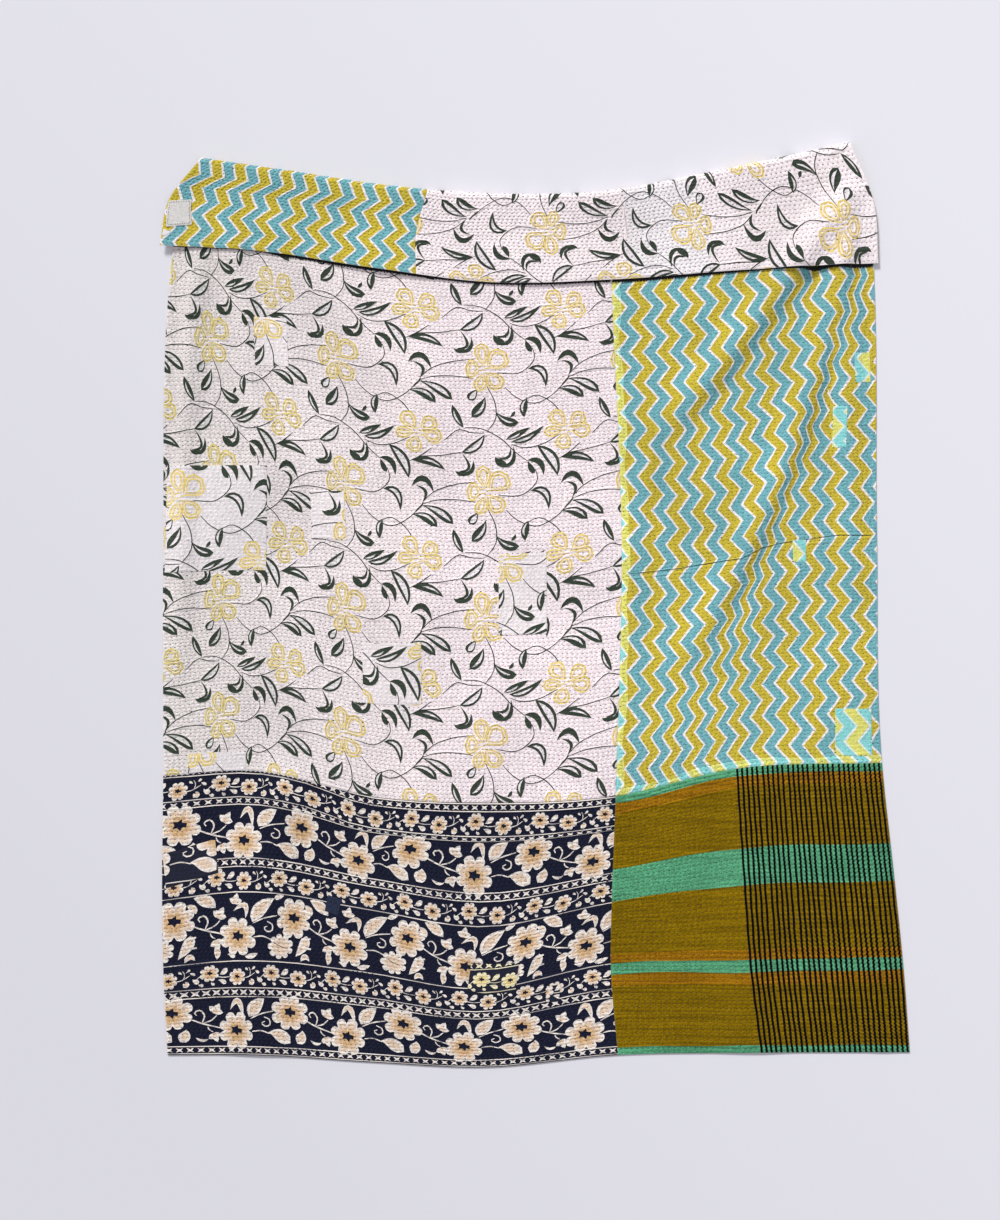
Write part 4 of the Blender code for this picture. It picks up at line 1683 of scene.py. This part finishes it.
@dataclass
class HemOvercastAndShadow:
    """Black overcast thread and painted shadow where the turndown's hem meets the front, as a ragged line of
    slanting dashes drawn as broad as the shade in the gap under the lifted hem.
    """

    name: str
    cloth: ClothPiece
    pitch: float = 0.0017
    lift: float = 0.0004
    under_hem: float = 0.001  # how far the line reaches under the hem
    half_width: float = 0.0011  # of a dash
    height: float = 0.0006
    hem_points: int = 400
    search: tuple[float, float, int] = (-0.06, 0.05, 60)  # tries for the hem: from, to and how many
    # Black of the thread, and of the painted shadow under the hem.
    thread: str = "0B090C"
    # How broad the line of thread and painted shadow is: share of the width across, and breadth in mm.
    breadths: tuple[Pair, ...] = (
        (0.0, 2), (0.13, 2), (0.16, 6.5), (0.3, 6.5), (0.42, 5), (0.62, 5), (0.66, 8), (0.76, 7), (0.84, 4),
        (0.9, 4.5), (0.92, 11), (0.945, 5.5), (0.97, 9), (1.0, 7),
    )

    def meeting_line(self, across: Array) -> Array:
        """Where the front lies straight under the hem: along, for each across."""
        surface = self.cloth.surface
        hem = np.linspace(0, QUILT_WIDTH, self.hem_points)
        hem_x, hem_y = surface.read(surface.turndown, hem, np.full(len(hem), TURNDOWN_LENGTH))
        first, last, count = self.search
        tries = np.linspace(TUCKED_UNDER + first, TUCKED_UNDER + last, count)
        beyond = []
        for level in tries:
            x, y = surface.read(surface.body, across, np.full(len(across), level))
            beyond.append(y - np.interp(x, hem_x, hem_y))
        return np.array([np.interp(0, column, tries) for column in np.array(beyond).T])

    def build(self, material: Material) -> Object:
        """Makes the line of thread and painted shadow as one piece."""
        low, high = extent(self.cloth.window)
        across = np.arange(low[0] + 0.002, high[0] - 0.002, self.pitch)
        number = np.arange(len(across))
        shares, breadths = np.array(self.breadths).T
        half = np.interp(across / QUILT_WIDTH, shares, breadths) * MM / 2
        half = half * (0.86 + 0.2 * np.sin(number * 2.3) * np.sin(number * 0.41))
        places = rows_of(across, self.meeting_line(across) + self.under_hem - half)
        # Each dash stands clear of the cloth along its whole length.
        spots = [places + rows_of(half * 0, half * share) for share in (-1, 0, 1)]
        highest = np.max([self.cloth.visible_offset(spot) for spot in spots], axis=0)
        level = self.cloth.seat + highest + self.lift
        ways = rows_of(0.3 + 0.1 * np.sin(number * 1.7), number * 0 + 1.0)
        colours = np.tile(linear(self.thread), (len(places), 1))
        size = (half, self.half_width, self.height)
        return lay_stitches(self.name, self.cloth, places, ways, level, size, colours, material)


def rectangle(across: Pair, along: Pair) -> Array:
    """Corners of an upright window, counter-clockwise."""
    (left, right), (low, high) = across, along
    return np.array([(left, low), (right, low), (right, high), (left, high)])


class PatchCut(NamedTuple):
    """A mending patch: its name, centre, size and turn in cloth millimetres and degrees, and its cloth."""

    name: str
    across: float
    along: float
    width: float
    length: float
    turn: float
    cloth: Print | Bare


def join(piece: Object) -> None:
    """Lets a piece ride on the throw and logs how many triangles it has."""
    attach(piece, HEADING)
    log.info("%s: %d triangles", piece.name, len(piece.data.polygons))


@dataclass
class Throw:
    """The whole throw: panels, patches, label and stitching."""

    surface: ClothSurface = field(default_factory=ClothSurface)
    quilting: Quilting = field(default_factory=Quilting)
    patch_seat: float = HALF_THICKNESS + 0.0002
    patch_thickness: float = 0.0005
    patch_least_across: float = 0.6  # mm from the side edge
    strip_breadth: float = 0.013  # of the unfaded cloth beside the seams
    strip_waver: float = 0.004
    past_seam: float = 0.01  # how far the strips' outlines pass the panel's edges

    def panels(self) -> list[tuple[ClothPiece, CottonFinish]]:
        """The six panels with their finishes."""
        half = SEAM_GAP / 2
        left, right = (0, FRONT_SEAM - half), (FRONT_SEAM + half, QUILT_WIDTH)
        back_left, back_right = (0, BACK_SEAM - half), (BACK_SEAM + half, QUILT_WIDTH)
        upper, lower, whole = (CROSS_SEAM + half, QUILT_LENGTH), (0, CROSS_SEAM - half), (0, QUILT_LENGTH)
        fresh_strip = self.fresh_strips()
        covered = {kind: [self.window_of(patch) for patch in self.patches() if kind in patch.name]
                   for kind in ("vine", "zigzag", "border")}
        common = {"surface": self.surface, "quilting": self.quilting}
        shown = {"detail": (0.0, TUCKED_UNDER)}
        turned = {"detail": (BODY_LENGTH, QUILT_LENGTH)}
        front_zigzag = ZigzagPrint(
            mustard_at=783, right_tip_at=1369, rise=56.6, pulls=ZIGZAG_PULLS, lean=16,
            tucks=(Tuck(416, 1233, 0, 29, 54, 54), Tuck(944, 1295, 38, 39, 180, 60)),
        )
        back_vine = VinePrint(
            ground="FBEFEF", mirrored=True, blossom_at=(699, 1668), tile=(265, 226), pulls=TURNDOWN_PULLS
        )
        back_zigzag = ZigzagPrint(mustard_at=93, right_tip_at=1630)
        return [
            (ClothPiece("front_vine_panel", Face.FRONT, rectangle(left, upper), VinePrint(pulls=VINE_PULLS),
                        covered=covered["vine"], **shown, **common),
             # Its left side carries painted shade.
             CottonFinish("printed_cotton_vine", left_painted_shade=(0.80, 0.845, 0.80))),
            (ClothPiece("front_zigzag_panel", Face.FRONT, rectangle(right, upper),
                        front_zigzag, regions=fresh_strip, covered=covered["zigzag"],
                        creases=(DRAG_CREASE,), **shown, **common),
             CottonFinish("printed_cotton_zigzag")),
            (ClothPiece("front_border_panel", Face.FRONT, rectangle(left, lower), BorderPrint(),
                        covered=covered["border"], **shown, **common),
             CottonFinish("printed_cotton_border", fade=0.06, sheen=0.01, specular=0.05)),
            (ClothPiece("front_plaid_panel", Face.FRONT, rectangle(right, lower), PlaidWeave(),
                        **shown, **common),
             CottonFinish("handloom_cotton_plaid", slub=0.3, streak=0.22, sheen=0.01, specular=0.04)),
            (ClothPiece("back_zigzag_panel", Face.BACK, rectangle(back_left, whole), back_zigzag,
                        **turned, **common),
             CottonFinish("printed_cotton_zigzag_back")),
            (ClothPiece("back_vine_panel", Face.BACK, rectangle(back_right, whole), back_vine,
                        regions=[GREYED_PLACE], **turned, **common),
             CottonFinish("printed_cotton_vine_back")),
        ]

    def fresh_strips(self) -> list[Array]:
        """Outlines of the zigzag panel's unfaded cloth, once hidden in a wider seam."""
        past, breadth, waver = self.past_seam, self.strip_breadth, self.strip_waver
        along = np.linspace(CROSS_SEAM - past, QUILT_LENGTH, 120)
        edge = FRONT_SEAM + breadth + waver * np.sin(along * 40) * np.sin(along * 13)
        side = np.concatenate([
            rows_of(along * 0 + FRONT_SEAM - past, along),
            rows_of(edge, along)[::-1],
        ])
        across = np.linspace(FRONT_SEAM - past, QUILT_WIDTH + past, 70)
        top = CROSS_SEAM + breadth + waver * np.sin(across * 37) * np.sin(across * 11 + 1)
        foot = np.concatenate([
            rows_of(across, across * 0 + CROSS_SEAM - past),
            rows_of(across, top)[::-1],
        ])
        return [side, foot]

    def zigzag_scrap(self, mustard_at: float, right_tip_at: float) -> ZigzagPrint:
        """Unfaded zigzag cloth, from where its bands stand in mm."""
        return ZigzagPrint(mustard_at=mustard_at, right_tip_at=right_tip_at, all_fresh=True, ground="E8EEE6")

    def patches(self) -> list[PatchCut]:
        """The mending patches, cut from spare pieces of the same cloths."""
        pale, grey = "F3EAE9", "E9E2E1"
        return [
            PatchCut("patch_vine_a", 192, 1279, 60, 84, 3, VinePrint(ground=pale, blossom_at=(178, 1320))),
            PatchCut("patch_vine_b", 93, 973, 176, 186, -1, VinePrint(ground=grey, blossom_at=(30, 1010))),
            PatchCut("patch_vine_c", 289, 984, 60, 88, 2, VinePrint(ground=pale, blossom_at=(330, 950))),
            PatchCut("patch_vine_d", 635, 849, 86, 142, 1, VinePrint(ground=pale, blossom_at=(600, 905))),
            PatchCut("patch_vine_e", 405, 711, 104, 105, 2, VinePrint(ground=pale, blossom_at=(330, 640))),
            PatchCut("patch_vine_f", 97, 511, 104, 34, -1, VinePrint(ground=grey, blossom_at=(60, 540))),
            PatchCut("patch_zigzag_a", 1255, 1229, 28, 54, 1, self.zigzag_scrap(1268, 1218)),
            PatchCut("patch_zigzag_b", 1213, 1117, 25, 80, -2, self.zigzag_scrap(1198, 1118)),
            PatchCut("patch_zigzag_c", 1137, 885, 24, 40, 1, self.zigzag_scrap(1122, 880)),
            PatchCut("patch_zigzag_d", 1233, 549, 64, 84, -2, self.zigzag_scrap(1240, 560)),
            PatchCut("patch_border_a", 53, 341, 100, 58, 8, BorderPrint(bands=BORDER_OFFCUT)),
            PatchCut("patch_border_b", 321, 281, 25, 30, -10, Bare("232B42")),
            PatchCut("patch_border_c", 612, 187, 84, 56, -6, BorderPrint(
                bands=BORDER_OFFCUT, cream="EDE3BE", blush="E8D9A8", peach="E2CC90"
            )),
            PatchCut("patch_border_d", 714, 134, 23, 32, -8, BorderPrint(
                bands=BORDER_OFFCUT, blush="EADACF"
            )),
        ]

    def window_of(self, patch: PatchCut) -> Array:
        """Corners of a patch in cloth metres, counter-clockwise."""
        turn = math.radians(patch.turn)
        weft = np.array([math.cos(turn), math.sin(turn)]) * patch.width / 2
        warp = np.array([-math.sin(turn), math.cos(turn)]) * patch.length / 2
        centre = np.array([patch.across, patch.along])
        corners = np.array([
            centre - weft - warp, centre + weft - warp, centre + weft + warp, centre - weft + warp
        ])
        corners[:, 0] = np.maximum(corners[:, 0], self.patch_least_across)
        return corners * MM

    def build_panels(self) -> dict[str, ClothPiece]:
        """Returns:
            Each panel's cloth by its CAD node's name.
        """
        made = {}
        for cloth, finish in self.panels():
            piece = cloth.build(finish.build())
            node = cloth.name.removesuffix("_panel")
            join(piece)
            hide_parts(node)
            made[node] = cloth
        return made

    def build_patches(self) -> list[ClothPiece]:
        """Makes the mending patches, sewn on over the front.

        Returns:
            The patches' cloths.
        """
        finish = CottonFinish("mending_cotton").build()
        made = []
        for patch in self.patches():
            cloth = ClothPiece(
                patch.name, Face.FRONT, self.window_of(patch), patch.cloth, self.surface, self.quilting,
                seat=self.patch_seat, thickness=self.patch_thickness, detail=(0.0, TUCKED_UNDER),
                edge_turn=0.0001, pucker_share=0.75,
            )
            piece = cloth.build(finish)
            join(piece)
            made.append(cloth)
        return made

    def build_stitches(self, panels: dict[str, ClothPiece], patches: list[ClothPiece]) -> None:
        """Makes the rows of running stitch on every shown face.

        Args:
            panels: The panels that the stitches go through.
            patches: The patches that lift some of them.
        """
        material = ThreadFinish().build()
        for node, cloth in panels.items():
            rows = StitchRows("stitches_" + node, cloth)
            if cloth.face is Face.FRONT:
                rows.over = patches
            join(rows.build(material))
        # The black line under the turndown's hem: overcast thread, and painted shadow.
        for node in ("front_vine", "front_zigzag"):
            join(HemOvercastAndShadow("overcast_" + node, panels[node]).build(material))


# Cloth of the turndown whose pink has washed out, as corners in metres.
GREYED_PLACE = rectangle((0.840, 0.987), (TURN_END - 0.004, QUILT_LENGTH + 0.01))
# The crease across the zigzag panel, pressed in where the cloth was drawn aside.
DRAG_CREASE = Crease(
    ((825, 872), (920, 871), (1030, 876), (1068, 894), (1110, 901), (1210, 911), (1272, 908))
)
# The part of the border's print that its patches are cut from.
BORDER_OFFCUT = (
    (Band.LINE, 312, 314, 0),
    (Band.BIG, 318, 405, 5),
    (Band.LINE, 160, 162, 0),
    (Band.SMALL, 162, 204, 592),
    (Band.CHAIN, 205, 221, 570),
    (Band.SMALL, 118, 158, 700),
)


@dataclass
class Label:
    """The sewn-on label: bare off-white cotton tape, a row of stitches inside its edge, and a care tag."""

    surface: ClothSurface
    quilting: Quilting
    corners: tuple[Pair, ...] = ((53, 1733), (7, 1741), (1.5, 1692), (41, 1684))  # cloth mm
    tag_corners: tuple[Pair, ...] = ((16, 1750), (8, 1758), (1, 1757), (3, 1745))
    thickness: float = 0.0010
    tag_thickness: float = 0.0006
    thread: str = "3A3640"
    stitch_inset: float = 0.0035
    stitch_pitch: float = 0.0042
    stitch_size: Triple = (0.0013, 0.0005, 0.0004)  # half length, half width and height

    def cloth(self, name: str, corners: tuple[Pair, ...], thickness: float) -> ClothPiece:
        """A small plain piece on the back of the turndown."""
        return ClothPiece(
            name, Face.BACK, ccw(np.array(corners) * MM), Bare("DAD7D2"), self.surface, self.quilting,
            seat=HALF_THICKNESS + 0.0008, thickness=thickness, detail=(BODY_LENGTH, QUILT_LENGTH),
            pucker_share=0.35, edge_turn=0.0003,
        )

    def build(self) -> None:
        """Makes the label, its small care tag and its stitches."""
        tape = CottonFinish("cotton_label_tape", fade=0.03, slub=0.1)
        face = self.cloth("label_tape", self.corners, self.thickness)
        piece = face.build(tape.build())
        join(piece)
        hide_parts("label")
        tag = self.cloth("care_tag", self.tag_corners, self.tag_thickness)
        tag.print = Bare("E6E4E6")
        small = tag.build(piece.data.materials[0])
        join(small)
        self.sew(face)

    def sew(self, face: ClothPiece) -> None:
        """Sews the label round, a little inside its edge."""
        window = face.window
        middle = window.mean(axis=0)
        corners = middle + (window - middle) * (1 - 2 * self.stitch_inset / np.ptp(window, axis=0))
        places, ways = [], []
        for start, end in zip(corners, np.roll(corners, -1, axis=0)):
            count = round(float(np.linalg.norm(end - start)) / self.stitch_pitch)
            share = (np.arange(count) + 0.5) / count
            places.append(start + share[:, None] * (end - start))
            ways.append(np.tile((end - start) / np.linalg.norm(end - start), (count, 1)))
        places, ways = np.concatenate(places), np.concatenate(ways)
        level = face.seat + face.visible_offset(places)
        colours = np.tile(linear(self.thread), (len(places), 1))
        thread = ThreadFinish().build()
        piece = lay_stitches("stitches_label", face, places, ways, level, self.stitch_size, colours, thread)
        join(piece)


@dataclass
class Studio:
    """A pale paper floor under soft light from the head end, and a camera straight above."""

    floor_size: float = 9.0
    floor_drop: float = 0.0004  # keeps the floor clear of the cloth's underside
    camera_height: float = 5.2
    view_middle: Pair = (-0.063, -0.009)
    view_length: float = 2.196  # metres of floor from the top to the bottom of the picture
    key_from: Triple = (-0.45, 1.0, 0.78)
    key_strength: float = 2.7
    key_spread: float = 14.0  # degrees
    sky: float = 0.52
    sky_colour: str = "F2F2FA"

    def build(self) -> None:
        """Makes the floor, the lights and the camera."""
        bpy.ops.object.select_all(action="DESELECT")
        bpy.ops.mesh.primitive_plane_add(size=self.floor_size, location=(0, 0, -self.floor_drop))
        floor = bpy.context.active_object
        floor.name = "floor"
        floor.data.materials.append(PaperFloor().build())
        bpy.ops.object.transform_apply(location=True)
        self.key_light()
        world = bpy.data.worlds.new("studio")
        world.use_nodes = True
        background = world.node_tree.nodes["Background"]
        background.inputs["Color"].default_value = (*linear(self.sky_colour), 1)
        background.inputs["Strength"].default_value = self.sky
        scene = bpy.context.scene
        scene.world = world
        scene.view_settings.view_transform = "Standard"
        eye = bpy.data.cameras.new("camera")
        eye.sensor_fit = "VERTICAL"
        eye.angle = 2 * math.atan(self.view_length / 2 / self.camera_height)
        eye.clip_end = 50
        camera = bpy.data.objects.new("camera", eye)
        camera.location = (*self.view_middle, self.camera_height)
        scene.collection.objects.link(camera)
        scene.camera = camera

    def key_light(self) -> None:
        """Adds the even, soft key light that rakes over the throw from its head end."""
        lamp = bpy.data.lights.new("key", "SUN")
        lamp.energy = self.key_strength
        lamp.angle = math.radians(self.key_spread)
        holder = bpy.data.objects.new("key", lamp)
        holder.location = self.key_from
        holder.rotation_euler = (-Vector(self.key_from)).to_track_quat("-Z", "Y").to_euler()
        bpy.context.scene.collection.objects.link(holder)


def main() -> None:
    """Builds the stage and the throw."""
    logging.basicConfig(level=logging.INFO, format="%(message)s")
    bpy.ops.object.select_all(action="DESELECT")
    Studio().build()
    throw = Throw()
    throw.surface.centre()
    panels = throw.build_panels()
    patches = throw.build_patches()
    throw.build_stitches(panels, patches)
    Label(throw.surface, throw.quilting).build()


if __name__ == "__main__":
    main()
